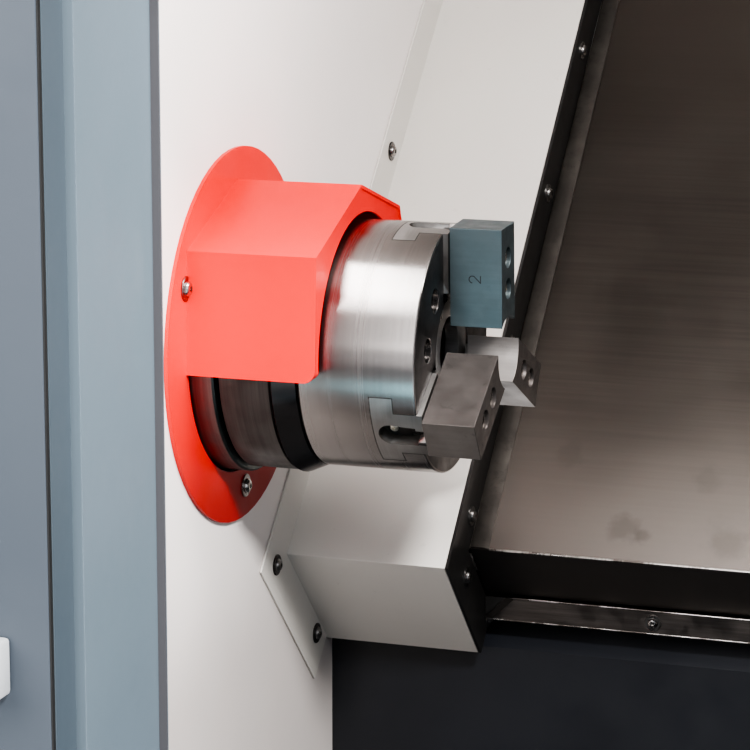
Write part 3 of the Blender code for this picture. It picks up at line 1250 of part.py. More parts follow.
def build():
    for old in list(bpy.data.objects):
        bpy.data.objects.remove(old)
    paints = make_paints()
    for part in (bed_casting, z_rails, headstock_casting, spindle_bearings, nose_ring,
                 drive_belt, spindle_motor, bulkhead_wall, chuck_guard, headstock_bed_cover,
                 way_cover_end_plate, cover_gutter, z_screw, z_motor, front_fascia, lower_apron,
                 coolant_tank, end_covers, roof_cover, rear_cover, work_area_liner, door_parts, door_tracks,
                 control_panel, electrical_cabinet):
        part(paints)
    main_spindle = spindle(paints)
    chuck = chuck_body(paints)
    turning = [chuck, chuck_adapter(paints), slinger_ring(paints), chuck_centre_ring(paints),
               rotary_cylinder(paints)]
    big_centre, small_centre = pulley_centres()
    turning.append(pulley("spindle_pulley", paints, big_centre, SPINDLE_PULLEY_RADIUS,
                          REAR_JOURNAL - SHOULDER / 3 + GAP))
    pulley("motor_pulley", paints, small_centre, MOTOR_PULLEY_RADIUS, MOTOR_SHAFT)
    turning += [wedge_plunger(paints), draw_tube(paints)]
    for piece in turning:
        piece.parent = main_spindle
        piece.matrix_parent_inverse = Matrix.Translation(-main_spindle.location)
    bpy.context.view_layer.update()
    jaws(paints, chuck)
    saddle = make_saddle(paints)
    way_covers(paints, saddle)
    for name in ("way_cover_left_moving", "way_cover_right_moving"):
        bpy.data.objects[name].matrix_parent_inverse = Matrix.Translation(-saddle.location)
    slide = make_cross_slide(paints, saddle)
    turret_body(paints, slide)
    disc = make_turret_disc(paints, slide)
    tools(paints, disc)


build()
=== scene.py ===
"""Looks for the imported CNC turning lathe: finishes, fasteners, small details, studio light and camera."""

import json
from math import cos, hypot, pi, radians, sin, sqrt, tau

import bmesh
import bpy
from mathutils import Matrix, Vector

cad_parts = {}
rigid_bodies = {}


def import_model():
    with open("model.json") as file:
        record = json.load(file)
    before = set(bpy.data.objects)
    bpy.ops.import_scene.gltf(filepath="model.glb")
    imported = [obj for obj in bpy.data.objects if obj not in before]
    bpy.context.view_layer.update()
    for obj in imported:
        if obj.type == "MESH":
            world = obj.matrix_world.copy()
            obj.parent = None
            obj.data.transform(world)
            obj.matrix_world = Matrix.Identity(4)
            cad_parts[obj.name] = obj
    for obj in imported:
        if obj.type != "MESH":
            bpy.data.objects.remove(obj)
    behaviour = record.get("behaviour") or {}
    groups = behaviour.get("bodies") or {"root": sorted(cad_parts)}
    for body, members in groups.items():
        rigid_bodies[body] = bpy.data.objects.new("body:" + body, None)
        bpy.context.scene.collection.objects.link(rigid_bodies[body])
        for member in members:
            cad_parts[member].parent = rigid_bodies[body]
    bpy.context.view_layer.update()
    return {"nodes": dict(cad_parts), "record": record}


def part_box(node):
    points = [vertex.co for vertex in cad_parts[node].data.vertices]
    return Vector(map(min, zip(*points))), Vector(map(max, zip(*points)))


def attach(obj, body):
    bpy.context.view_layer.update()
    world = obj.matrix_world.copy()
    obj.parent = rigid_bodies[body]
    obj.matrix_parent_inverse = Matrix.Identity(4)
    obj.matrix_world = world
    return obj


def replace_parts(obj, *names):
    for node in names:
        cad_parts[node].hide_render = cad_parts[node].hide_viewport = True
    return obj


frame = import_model()
NODES = frame["nodes"]
scene = bpy.context.scene

# The middle of the chuck's front face, from which every place on the spindle's side is measured, in metres
CENTRE = Vector((-0.14, -0.24, 1.000))
ROOT_TWO = sqrt(2)
GAP = 0.0003
WELD = 0.00002
# How far a small piece sinks into the face it sits on
SUNK = -0.0002

# The chuck and its jaws
CHUCK_RADIUS, CHUCK_LENGTH = 0.1014, 0.099
SCREW_CIRCLE, SCREW_SPREAD = 0.0667, 18
JAW_ANGLES = [radians(a) for a in (93.6, 213.6, 333.6)]
JAW_STEP, JAW_LENGTH = 0.004, 0.0432
JAW_END = JAW_STEP + GAP + JAW_LENGTH
JAW_BOLT_AT = (0.0525, 0.0778)
NEAR_BOLT = 0.0092

# The wall and the bed covers; a name in _N is a distance in front of the spindle's slanted plane
WALL_FACE = -0.1872
CREAM_N, CREAM_LENGTH, CREAM_CORNER = -0.2326, 0.1476, -0.0743
END_BAND, END_PLATE = 0.045, 0.0026
STEEL_N = CREAM_N - END_BAND
BAND_X = WALL_FACE + CREAM_LENGTH + 2 * GAP
STEEL_X = BAND_X + END_PLATE + GAP


def nose(x, y, z):
    return CENTRE + Vector((x, y, z))


def on_slope(x, n, s):
    """A point n in front of the spindle's slanted plane and s up along the bed."""
    return nose(x, (s - n) / ROOT_TWO, (s + n) / ROOT_TWO)


def radial(angle):
    return Vector((0, cos(angle), sin(angle)))


def across(angle):
    return Vector((0, -sin(angle), cos(angle)))


# ---------------------------------------------------------------- materials
class Shader:
    """A Principled material and short calls for the nodes that feed it."""

    def __init__(self, name, colour, roughness=0.5, metallic=0.0):
        self.material = bpy.data.materials.new(name)
        self.material.use_nodes = True
        self.tree = self.material.node_tree
        self.bsdf = self.tree.nodes["Principled BSDF"]
        self.plain({"Base Color": (*colour, 1), "Roughness": roughness, "Metallic": metallic})
        self.coordinate = self.new("ShaderNodeTexCoord").outputs["Object"]

    def new(self, kind, inputs=None, **settings):
        """A node with its settings and its inputs, each of them a value or a socket to link."""
        node = self.tree.nodes.new(kind)
        for key, value in settings.items():
            setattr(node, key, value)
        for key, value in (inputs or {}).items():
            if isinstance(value, bpy.types.NodeSocket):
                self.tree.links.new(value, node.inputs[key])
            else:
                node.inputs[key].default_value = value
        return node

    def noise(self, scale, detail=4, stretch=(1, 1, 1), roughness=0.55):
        place = self.new("ShaderNodeMapping", {"Scale": stretch, "Vector": self.coordinate}).outputs["Vector"]
        return self.new("ShaderNodeTexNoise", {"Scale": scale, "Detail": detail, "Roughness": roughness,
                                               "Vector": place}).outputs["Fac"]

    def ramp(self, value, low, high, start=0.0, end=1.0):
        """The value mapped smoothly from low..high to start..end."""
        return self.new("ShaderNodeMapRange", {"Value": value, "From Min": low, "From Max": high, "To Min": start,
                                               "To Max": end}, interpolation_type="SMOOTHSTEP").outputs["Result"]

    def patches(self, scale, detail, low, high, most=1.0, roughness=0.55):
        """Noise that rises from nothing to the most between two of its levels."""
        return self.ramp(self.noise(scale, detail, roughness=roughness), low, high, 0.0, most)

    def cloud(self, scale, detail, start, end):
        """Plain noise between two values."""
        return self.ramp(self.noise(scale, detail), 0.3, 0.7, start, end)

    def mix(self, factor, a, b):
        """Colours a and b mixed; each is a tuple or a socket."""
        a, b = ((*c, 1) if isinstance(c, tuple) else c for c in (a, b))
        return self.new("ShaderNodeMix", {0: factor, 6: a, 7: b}, data_type="RGBA").outputs[2]

    def maths(self, operation, a, b):
        return self.new("ShaderNodeMath", {0: a, 1: b}, operation=operation).outputs["Value"]

    def axis(self, which):
        return self.new("ShaderNodeSeparateXYZ", {"Vector": self.coordinate}).outputs[which]

    def spot(self, centre, size, depth):
        """An uneven round patch about a point, from depth at its middle to nothing at its edge."""
        far = self.new("ShaderNodeVectorMath", {0: self.coordinate, 1: centre}, operation="DISTANCE").outputs["Value"]
        uneven = self.cloud(45, 3, -size * 0.35, size * 0.35)
        return self.ramp(self.maths("ADD", far, uneven), size * 0.3, size * 1.25, depth, 0.0)

    def plain(self, values):
        """Gives inputs of the Principled node plain values."""
        for key, value in values.items():
            self.bsdf.inputs[key].default_value = value

    def feed(self, name, socket):
        self.tree.links.new(socket, self.bsdf.inputs[name])

    def paint(self, colour):
        self.feed("Base Color", colour)

    def rough(self, value):
        self.feed("Roughness", value)

    def bump(self, height, strength, distance):
        relief = self.new("ShaderNodeBump", {"Strength": strength, "Distance": distance, "Height": height})
        self.feed("Normal", relief.outputs["Normal"])


def toned(colour, share):
    """The colour, darker or paler by a share."""
    return tuple(min(1, c * share) for c in colour)


def painted(name, colour, roughness=0.42, shade=0.9, peel=0.12, spots=0.0):
    """Powder coated sheet metal: fine orange peel, faint cloudiness and, where worn, oil spots."""
    s = Shader(name, colour, roughness)
    cloud = s.patches(3.5, 5, 0.35, 0.7)
    tint = s.mix(cloud, toned(colour, shade), colour)
    if spots:
        stain = s.patches(9, 6, 0.6, 0.72, spots, 0.7)
        speck = s.patches(120, 2, 0.7, 0.76, spots * 0.8)
        for mark in (stain, speck):
            tint = s.mix(mark, tint, (0.16, 0.14, 0.11))
    s.paint(tint)
    s.rough(s.cloud(18, 4, roughness * 0.86, roughness * 1.14))
    s.bump(s.noise(900, 2), peel, 0.0004)
    return s.material


def machined(name, colour, roughness=0.3, stretch=(1, 30, 30), scale=14, streak=0.14, bump=0.1, grime=0.0,
             grime_colour=(0.05, 0.04, 0.03)):
    """Ground or turned steel: fine tool lines along one direction, in the colour, the gloss and the relief."""
    s = Shader(name, colour, roughness, 1.0)
    lines = s.noise(scale, 8, stretch, 0.75)
    tint = s.mix(s.ramp(lines, 0.3, 0.7), toned(colour, 1 - streak), toned(colour, 1 + streak))
    if grime:
        stain = s.patches(16, 6, 0.55, 0.75, grime, 0.65)
        tint = s.mix(stain, tint, grime_colour)
    s.paint(tint)
    s.rough(s.cloud(40, 4, roughness * 0.8, roughness * 1.25))
    s.bump(lines, bump, 0.0003)
    return s.material


def chuck_steel():
    """The chuck's polished, turned body: tool lines run round the axis, so the shine spreads along it."""
    s = Shader("polished_chuck", (0.44, 0.415, 0.4), 0.26, 1.0)
    lines = s.noise(3, 8, (420, 1.5, 1.5), 0.8)
    broad = s.noise(2, 3, (26, 0.4, 0.4))
    tint = s.mix(s.ramp(lines, 0.3, 0.7), (0.265, 0.246, 0.236), (0.305, 0.286, 0.275))
    haze = s.patches(9, 4, 0.52, 0.75, 0.25)
    s.paint(s.mix(haze, tint, (0.215, 0.19, 0.176)))
    s.rough(s.maths("ADD", s.ramp(broad, 0.3, 0.7, 0.21, 0.27), s.ramp(lines, 0.3, 0.7, 0.0, 0.03)))
    s.feed("Tangent", s.new("ShaderNodeTangent", direction_type="RADIAL", axis="X").outputs["Tangent"])
    s.plain({"Anisotropic": 0.75, "Anisotropic Rotation": 0.25})
    s.bump(lines, 0.012, 0.0002)
    return s.material


def cover_steel():
    """The oily steel of the way covers: brown-grey, brushed along X, with smudges, rougher towards the lower edge,
    and painted reflection that makes it paler high up the slope and paler towards the lower edge.
    """
    s = Shader("way_cover_steel", (0.13, 0.115, 0.103), 0.36, 1.0)
    lines = s.noise(5, 8, (1.0, 45, 45), 0.7)
    base = s.mix(s.ramp(lines, 0.25, 0.75), (0.068, 0.06, 0.054), (0.084, 0.074, 0.066))
    # Painted reflection: paler high up the slope.
    base = s.mix(s.ramp(s.axis("Z"), 1.05, 1.24, 0.0, 0.8), base, (0.175, 0.152, 0.136))
    # Painted reflection: paler towards the lower edge; the same mask also makes that edge rougher.
    low = s.ramp(s.axis("Z"), 0.93, 0.765)
    base = s.mix(s.maths("MULTIPLY", low, 0.85), base, (0.192, 0.172, 0.158))
    for x, up, size, depth in ((0.0995, 0.0072, 0.015, 0.42), (0.1165, 0.002, 0.009, 0.45),
                               (0.192, 0.001, 0.023, 0.36), (0.035, 0.079, 0.014, 0.3),
                               (0.162, 0.064, 0.014, 0.25), (0.62, 0.05, 0.03, 0.3)):
        base = s.mix(s.spot(on_slope(x, STEEL_N, up), size, depth), base, (0.075, 0.068, 0.062))
    smudge = s.patches(11, 3, 0.62, 0.8, 0.35, 0.5)
    s.paint(s.mix(smudge, base, (0.06, 0.053, 0.048)))
    s.rough(s.maths("ADD", s.cloud(5, 5, 0.32, 0.46), s.ramp(low, 0.0, 1.0, 0.0, 0.1)))
    s.bump(lines, 0.03, 0.0002)
    return s.material


def jaw_finish(name, colour, stains, metallic=0.88):
    """Ground jaw steel with cloudy patches and small stains."""
    s = Shader(name, colour, 0.36, metallic)
    lines = s.noise(18, 6, (1, 1, 14), 0.7)
    base = s.mix(s.ramp(lines, 0.3, 0.7), toned(colour, 0.94), toned(colour, 1.05))
    base = s.mix(s.patches(28, 4, 0.35, 0.65, 0.45), base, toned(colour, 0.72))
    blot = s.patches(55, 5, 0.6, 0.72, stains, 0.65)
    s.paint(s.mix(blot, base, toned(colour, 0.35)))
    s.rough(s.cloud(60, 5, 0.36, 0.54))
    s.bump(lines, 0.06, 0.0002)
    return s.material


FINISH = {
    "navy": painted("bed_navy", (0.01, 0.0112, 0.0145), 0.5, 0.8),
    "zinc": machined("zinc_plate", (0.52, 0.53, 0.54), 0.36),
    "steel": machined("plain_steel", (0.42, 0.42, 0.42), 0.32),
    "ground_steel": machined("ground_steel", (0.33, 0.32, 0.31), 0.36, (30, 1.5, 1.5), 6, 0.08, 0.04),
    "bright_steel": chuck_steel(),
    "jaw_steel": jaw_finish("jaw_steel", (0.128, 0.114, 0.108), 0.5),
    "way_steel": cover_steel(),
    "black_oxide": machined("black_oxide", (0.052, 0.046, 0.044), 0.4, (40, 1, 1), 6, 0.2, 0.08),
    "aluminium": machined("machined_aluminium", (0.62, 0.63, 0.64), 0.3, (30, 1, 1)),
    "cast_grey": painted("cast_grey", (0.3, 0.32, 0.33), 0.5, 0.85, 0.35, 0.1),
    "dark_blue": painted("motor_blue", (0.05, 0.07, 0.1), 0.45, 0.85),
    "black": painted("satin_black", (0.013, 0.0125, 0.012), 0.42, 0.8, 0.08),
    "black_plastic": painted("black_plastic", (0.022, 0.022, 0.023), 0.42, 0.9, 0.2),
    "rubber": painted("rubber", (0.014, 0.014, 0.014), 0.75, 0.8, 0.3),
    "stop_red": painted("stop_red", (0.66, 0.018, 0.012), 0.28, 0.95, 0.03),
    "cream": painted("cover_cream", (0.72, 0.695, 0.65), 0.42, 0.95, 0.06, 0.1),
    "fascia": painted("fascia_grey_blue", (0.128, 0.168, 0.2), 0.4, 0.95, 0.1),
    "door": painted("door_grey_blue", (0.05, 0.062, 0.078), 0.52, 0.95, 0.1),
    "enclosure": painted("enclosure_light_grey", (0.66, 0.67, 0.665), 0.4, 0.96, 0.1),
    "dark_base": painted("base_dark", (0.045, 0.05, 0.056), 0.45, 0.85, 0.12),
    "handle_grey": painted("handle_grey", (0.6, 0.62, 0.64), 0.32, 0.95, 0.08),
    "panel": painted("panel_dark", (0.085, 0.092, 0.1), 0.42, 0.92, 0.15),
}


def wall_paint_with_painted_shade():
    """The white wall with painted shade: darker towards the floor, and a dark band high above the door opening."""
    s = Shader("wall_white", (0.86, 0.81, 0.785), 0.42)
    cloud = s.patches(3.0, 5, 0.35, 0.7)
    tint = s.mix(cloud, (0.83, 0.78, 0.755), (0.87, 0.82, 0.795))
    # Painted shade: a dark band high on the wall, above the door opening, with an uneven lower edge.
    height = s.maths("ADD", s.axis("Z"), s.cloud(6, 4, -0.03, 0.03))
    # Painted shade: darker towards the floor.
    tint = s.mix(s.ramp(s.axis("Z"), 0.84, 0.7, 0.0, 0.55), tint, (0.42, 0.385, 0.365))
    s.paint(s.mix(s.ramp(height, 1.4, 1.52), tint, (0.13, 0.115, 0.105)))
    s.rough(s.cloud(18, 4, 0.36, 0.48))
    s.bump(s.noise(900, 2), 0.06, 0.0004)
    return s.material


def clear_glass():
    s = Shader("window_glass", (0.86, 0.93, 0.92), 0.04)
    s.plain({"Transmission Weight": 1.0, "IOR": 1.45})
    s.rough(s.ramp(s.noise(8, 5), 0.45, 0.75, 0.03, 0.1))
    return s.material


def guard_enamel():
    """The guard's red enamel, with painted shade that darkens the lower part of the disc."""
    s = Shader("guard_red", (0.8, 0.01, 0.008), 0.46)
    tint = s.mix(s.patches(3.5, 5, 0.35, 0.7), (0.76, 0.0095, 0.0076), (0.8, 0.01, 0.008))
    # Painted shade: darker towards the bottom of the disc.
    s.paint(s.mix(s.ramp(s.axis("Z"), 0.955, 0.85), tint, (0.34, 0.005, 0.004)))
    s.rough(s.cloud(18, 4, 0.4, 0.52))
    s.bump(s.noise(900, 2), 0.1, 0.0004)
    s.plain({"Specular IOR Level": 0.22})
    return s.material


FINISH["guard_red"] = guard_enamel()
FINISH["glass"] = clear_glass()
FINISH["wall"] = wall_paint_with_painted_shade()
NOSE_STEEL = machined("nose_ring_steel", (0.13, 0.155, 0.15), 0.46, (60, 1, 1), 5, 0.2, 0.08)
RING_BLACK = painted("glossy_black_ring", (0.012, 0.011, 0.011), 0.2, 0.8, 0.04)
BOLT_DARK = machined("bolt_black", (0.075, 0.07, 0.068), 0.3, (1, 1, 1), 60, 0.15, 0.05)
BOLT_BRIGHT = machined("bolt_bright", (0.6, 0.57, 0.54), 0.24, (1, 1, 1), 60, 0.12, 0.05)
BOLT_GREY = machined("bolt_grey", (0.3, 0.29, 0.28), 0.3, (1, 1, 1), 60, 0.15, 0.05)
# A paler copy of the door paint for its closing edge: painted light.
DOOR_EDGE_PAINTED_LIGHT = painted("door_edge_painted_light", (0.062, 0.082, 0.1), 0.4, 0.95, 0.08)
FOLD_GREY = painted("jamb_fold_grey", (0.082, 0.08, 0.086), 0.42, 0.95, 0.08)
GUTTER_STEEL = machined("gutter_steel", (0.165, 0.148, 0.138), 0.38, (1, 30, 30), 10, 0.25, 0.05, 0.5,
                        (0.03, 0.025, 0.02))
INK = painted("engraving_dark", (0.01, 0.012, 0.013), 0.7, 0.8)
PALE_METAL = machined("pale_screw_end", (0.8, 0.76, 0.66), 0.35, (1, 1, 1), 50, 0.15, 0.05)
# A bluish copy of the jaw steel for the upper jaw: a painted blue reflection.
JAW_PAINTED_BLUE_REFLECTION = jaw_finish("jaw_steel_painted_blue_reflection", (0.115, 0.145, 0.155), 0.35)


# ---------------------------------------------------------------- frame nodes
def smoothing_group(angle):
    """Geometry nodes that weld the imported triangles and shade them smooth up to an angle."""
    group = bpy.data.node_groups.new(f"weld_and_smooth_{angle}", "GeometryNodeTree")
    for way in ("INPUT", "OUTPUT"):
        group.interface.new_socket("Geometry", in_out=way, socket_type="NodeSocketGeometry")
    new, link = group.nodes.new, group.links.new
    chain = [new(kind) for kind in (
        "NodeGroupInput", "GeometryNodeMergeByDistance", "GeometryNodeRemoveAttribute",
        "GeometryNodeSetShadeSmooth", "GeometryNodeSetShadeSmooth", "NodeGroupOutput")]
    weld, drop, faces, edges = chain[1:5]
    weld.inputs["Distance"].default_value = WELD
    drop.inputs["Name"].default_value = "custom_normal"
    faces.domain, edges.domain = "FACE", "EDGE"
    edges.inputs["Shade Smooth"].default_value = False
    edge_angle, over = new("GeometryNodeInputMeshEdgeAngle"), new("FunctionNodeCompare")
    over.data_type, over.operation = "FLOAT", "GREATER_THAN"
    over.inputs["B"].default_value = radians(angle)
    for before, after in zip(chain, chain[1:]):
        link(before.outputs[0], after.inputs["Geometry"])
    link(edge_angle.outputs["Unsigned Angle"], over.inputs["A"])
    link(over.outputs["Result"], edges.inputs["Selection"])
    return group


SMOOTH_ROUND = smoothing_group(28)
SMOOTH_FOLD = smoothing_group(12)
FOLDED = ("chuck_guard", "headstock_bed_cover", "cover_gutter", "roof_cover", "work_area_liner",
          "way_cover_left_fixed", "way_cover_right_fixed", "way_cover_left_moving", "way_cover_right_moving",
          "turret_body", "headstock_casting", "turret_disc", "drive_belt")
SLOT_OF = {part["node"]: part["material_slot"] for part in frame["record"]["subparts"]}
# A paler copy of the jaw steel: a painted highlight for the far jaw.
JAW_PAINTED_HIGHLIGHT = jaw_finish("jaw_steel_painted_highlight", (0.36, 0.335, 0.32), 0.25, 0.5)
CHUCK_FACE = machined("chuck_face_steel", (0.085, 0.083, 0.083), 0.4, (1, 1, 1), 60, 0.2, 0.04, 0.4)
SPECIAL = {"cover_gutter": GUTTER_STEEL, "nose_ring": NOSE_STEEL, "slinger_ring": RING_BLACK, "top_jaw_1": JAW_PAINTED_BLUE_REFLECTION}

TOP_JAW_EDGE = 0.0007

for name, node in NODES.items():
    material = SPECIAL.get(name, FINISH[SLOT_OF[name]])
    for slot in node.material_slots:
        slot.material = material
    node.modifiers.new("smooth", "NODES").node_group = SMOOTH_FOLD if name in FOLDED else SMOOTH_ROUND


def soften(obj, name, width):
    """Breaks an object's sharp edges with a bevel."""
    bevel = obj.modifiers.new(name, "BEVEL")
    bevel.width, bevel.segments = width, 2
    bevel.limit_method, bevel.angle_limit = "ANGLE", radians(40)
    bevel.harden_normals = True


for name in ("door_leaf", "cabinet_door", "cabinet_body", "right_end_cover", "roof_cover", "front_fascia",
             "headstock_bed_cover", "coolant_tank", "turret_body", "turret_disc", "cross_slide", "saddle"):
    soften(NODES[name], "soft_edges", 0.0009)
for number in (1, 2, 3):
    soften(NODES[f"top_jaw_{number}"], "broken_edges", TOP_JAW_EDGE)
    soften(NODES[f"master_jaw_{number}"], "broken_edges", 0.0003)


# ---------------------------------------------------------------- small pieces
def new_object(name, data, place=(0, 0, 0)):
    obj = bpy.data.objects.new(name, data)
    obj.location = place
    scene.collection.objects.link(obj)
    return obj


def as_mesh(name, shape):
    """The bmesh as a mesh with its normals outwards; the bmesh is freed."""
    bmesh.ops.recalc_face_normals(shape, faces=shape.faces)
    mesh = bpy.data.meshes.new(name)
    shape.to_mesh(mesh)
    shape.free()
    return mesh


def smooth_below(mesh, degrees):
    mesh.shade_smooth()
    mesh.set_sharp_from_angle(angle=radians(degrees))


def place_mesh(name, mesh, material, body, place):
    """An object from a mesh in the machine's frame, with its origin moved to a place, riding on a body."""
    mesh.transform(Matrix.Translation(-Vector(place)))
    mesh.materials.clear()
    mesh.materials.append(material)
    obj = new_object(name, mesh, place)
    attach(obj, body)
    return obj


def piece(name, shape, material, body="machine", place=(0, 0, 0), smooth=35):
    mesh = as_mesh(name, shape)
    smooth_below(mesh, smooth)
    return place_mesh(name, mesh, material, body, place)


def aim(point, axis=(1, 0, 0)):
    """The matrix that takes the +Z axis at the origin to an axis at a point, by default the spindle's."""
    turn = Vector((0, 0, 1)).rotation_difference(Vector(axis).normalized())
    return Matrix.Translation(point) @ turn.to_matrix().to_4x4()


def polygon(radius, sides, turn=0.0):
    return [(radius * cos(turn + tau * i / sides), radius * sin(turn + tau * i / sides))
            for i in range(sides)]


def points(shape, outline, height, matrix):
    """New vertices at an outline's (x, y) points and a height."""
    return [shape.verts.new(matrix @ Vector((x, y, height))) for x, y in outline]


def lathe(shape, profile, matrix, steps=32):
    """Spins (radius, height) points round +Z and places them; a point on the axis is one vertex."""
    rings = [points(shape, polygon(r, steps) if r > 1e-7 else [(0, 0)], h, matrix) for r, h in profile]
    for a, b in zip(rings, rings[1:]):
        for i in range(steps):
            j = (i + 1) % steps
            corners = list(dict.fromkeys([a[i % len(a)], a[j % len(a)], b[j % len(b)], b[i % len(b)]]))
            if len(corners) > 2:
                shape.faces.new(corners)
    return shape


def wall(shape, low, high):
    """Faces between two closed rows of vertices."""
    for i in range(len(low)):
        j = (i + 1) % len(low)
        shape.faces.new([low[i], low[j], high[j], high[i]])


def prism(shape, outline, low, high, matrix):
    """An outline of (x, y) points as a closed prism between two heights."""
    bottom, top = (points(shape, outline, height, matrix) for height in (low, high))
    shape.faces.new(bottom[::-1])
    shape.faces.new(top)
    wall(shape, bottom, top)
    return shape


def slab(name, outline, low, high, matrix, material, body="machine"):
    return piece(name, prism(bmesh.new(), outline, low, high, matrix), material, body)


def spun(name, profile, matrix, steps, material, body="machine"):
    return piece(name, lathe(bmesh.new(), profile, matrix, steps), material, body)


def hexagon_socket(shape, matrix, rim, key, top, bottom, steps):
    """The flat between a round rim and a hexagon, and the hexagon sunk to the bottom."""
    outer, inner, floor = (points(shape, polygon(radius, sides), height, matrix)
                           for radius, sides, height in ((rim, steps, top), (key, 6, top), (key, 6, bottom)))
    for i in range(steps):
        a, b = (int(k * 6 / steps + 0.5) % 6 for k in (i, i + 1))
        shape.faces.new(list(dict.fromkeys([outer[i], outer[(i + 1) % steps], inner[b], inner[a]])))
    wall(shape, inner, floor)
    shape.faces.new(floor)
    bmesh.ops.remove_doubles(shape, verts=shape.verts, dist=0.0000005)


def socket_head(shape, matrix, radius, height, key, depth, bevel=0.0006, steps=28):
    """A cap screw's head with a round rim and a hexagon socket."""
    rim = radius * 0.8
    lathe(shape, [(0, 0), (radius, 0), (radius, height - bevel), (radius - bevel, height), (rim, height)], matrix,
          steps)
    hexagon_socket(shape, matrix, rim, key, height, height - depth, steps)


def button_head(shape, matrix, radius, steps=28):
    """A domed button-head screw with a hexagon socket."""
    h = radius * 0.55
    dome = [(0, 0), (radius, 0), (radius, h * 0.15), (radius * 0.94, h * 0.45), (radius * 0.78, h * 0.8),
            (radius * 0.56, h)]
    lathe(shape, dome, matrix, steps)
    hexagon_socket(shape, matrix, radius * 0.56, radius * 0.4, h, h * 0.35, steps)


def washer(shape, matrix, radius, bore, thickness, steps=28):
    e = thickness * 0.3
    lathe(shape, [(bore, 0), (radius, 0), (radius, thickness - e), (radius - e, thickness), (bore, thickness),
                  (bore, 0)], matrix, steps)


def screws(name, places, axis, radius, body="machine", head=BOLT_GREY, plate=BOLT_GREY, rest=0.0014):
    """Button-head screws on washers of thickness rest; heads are one object and washers another."""
    heads, plates = bmesh.new(), bmesh.new()
    for point in places:
        seat = aim(point, axis)
        button_head(heads, seat @ Matrix.Translation((0, 0, rest)), radius)
        if rest:
            washer(plates, seat, radius * 1.6, radius * 0.5, rest)
    piece(f"{name}_heads", heads, head, body)
    if rest:
        piece(f"{name}_washers", plates, plate, body)


# Guard, wall lip and black band; the places are (y, z)
LIP_X = WALL_FACE + 0.0023
LIP_SCREWS = ((0.0857, -0.22), (0.1886, -0.311), (0.4044, 0.1078), (0.274, -0.0226))
BAND_SCREWS = ((0.5546, 0.1967), (0.431, 0.0705), (0.307, -0.054), (0.1826, -0.1869), (0.17, -0.24),
               (0.24, -0.296))
screws("guard_screw", [nose(WALL_FACE + 0.0033, 0, 0) + radial(radians(a)) * 0.131 for a in (154, 34, -86)],
       (1, 0, 0), 0.0062, head=BOLT_BRIGHT)
screws("lip_screw", [nose(LIP_X, y, z) for y, z in LIP_SCREWS], (1, 0, 0), 0.0058, plate=BOLT_DARK)
screws("band_screw", [nose(BAND_X + END_PLATE, y, z) for y, z in BAND_SCREWS], (1, 0, 0), 0.0056)


# ---------------------------------------------------------------- chuck details
def scratch(name, shape):
    """A scratch object for a boolean."""
    return new_object(name, as_mesh(name, shape))


def welded(name):
    """A CAD node's mesh as a bmesh, with its split vertices joined."""
    shape = bmesh.new()
    shape.from_mesh(NODES[name].data)
    bmesh.ops.remove_doubles(shape, verts=shape.verts, dist=WELD)
    return shape


def carved(base, cutters):
    """The base's mesh with every cutter taken away; the scratch objects are removed."""
    for cutter in cutters:
        boolean = base.modifiers.new("cut", "BOOLEAN")
        boolean.operation, boolean.solver, boolean.object = "DIFFERENCE", "EXACT", cutter
    bpy.context.view_layer.update()
    graph = bpy.context.evaluated_depsgraph_get()
    mesh = bpy.data.meshes.new_from_object(base.evaluated_get(graph))
    for obj in (base, *cutters):
        bpy.data.objects.remove(obj)
    return mesh


def round_normals(mesh):
    """Exact radial normals on the faces of the chuck's outside."""
    smooth_below(mesh, 30)
    normals = [Vector((0, 0, 0))] * len(mesh.loops)
    for face in mesh.polygons:
        if abs(face.normal.x) > 0.02:
            continue
        for loop in face.loop_indices:
            out = mesh.vertices[mesh.loops[loop].vertex_index].co - CENTRE
            out.x = 0
            if abs(out.length - CHUCK_RADIUS) < 0.0002 and out.normalized().dot(face.normal) > 0.9:
                normals[loop] = out.normalized()
    mesh.normals_split_custom_set(normals)


def frame_at(place, *axes):
    """Takes coordinates along three axes from a place to the machine's frame."""
    return Matrix.Translation(place) @ Matrix(axes).transposed().to_4x4()


def spoke(angle, place=CENTRE):
    """Takes (x, across, outwards) to the machine's frame, with outwards along a radius at this angle."""
    return frame_at(place, (1, 0, 0), across(angle), radial(angle))


def slot_outline(grow=0.0):
    """The T-slot's section, wider all round by an amount."""
    neck, neck_depth = 0.0215 + GAP + grow, 0.0197 - GAP - grow
    foot, foot_depth = 0.0345 + GAP + grow, 0.038 + GAP + grow
    return [(0.004, -neck), (0.004, neck), (-neck_depth, neck), (-neck_depth, foot), (-foot_depth, foot),
            (-foot_depth, -foot), (-neck_depth, -foot), (-neck_depth, -neck)]


def face_screws(x, angle):
    """The places of the two screws beyond a jaw in the chuck's face, at a depth x."""
    return [nose(x, 0, 0) + radial(angle + pi / 3 + radians(side)) * SCREW_CIRCLE
            for side in (-SCREW_SPREAD, SCREW_SPREAD)]


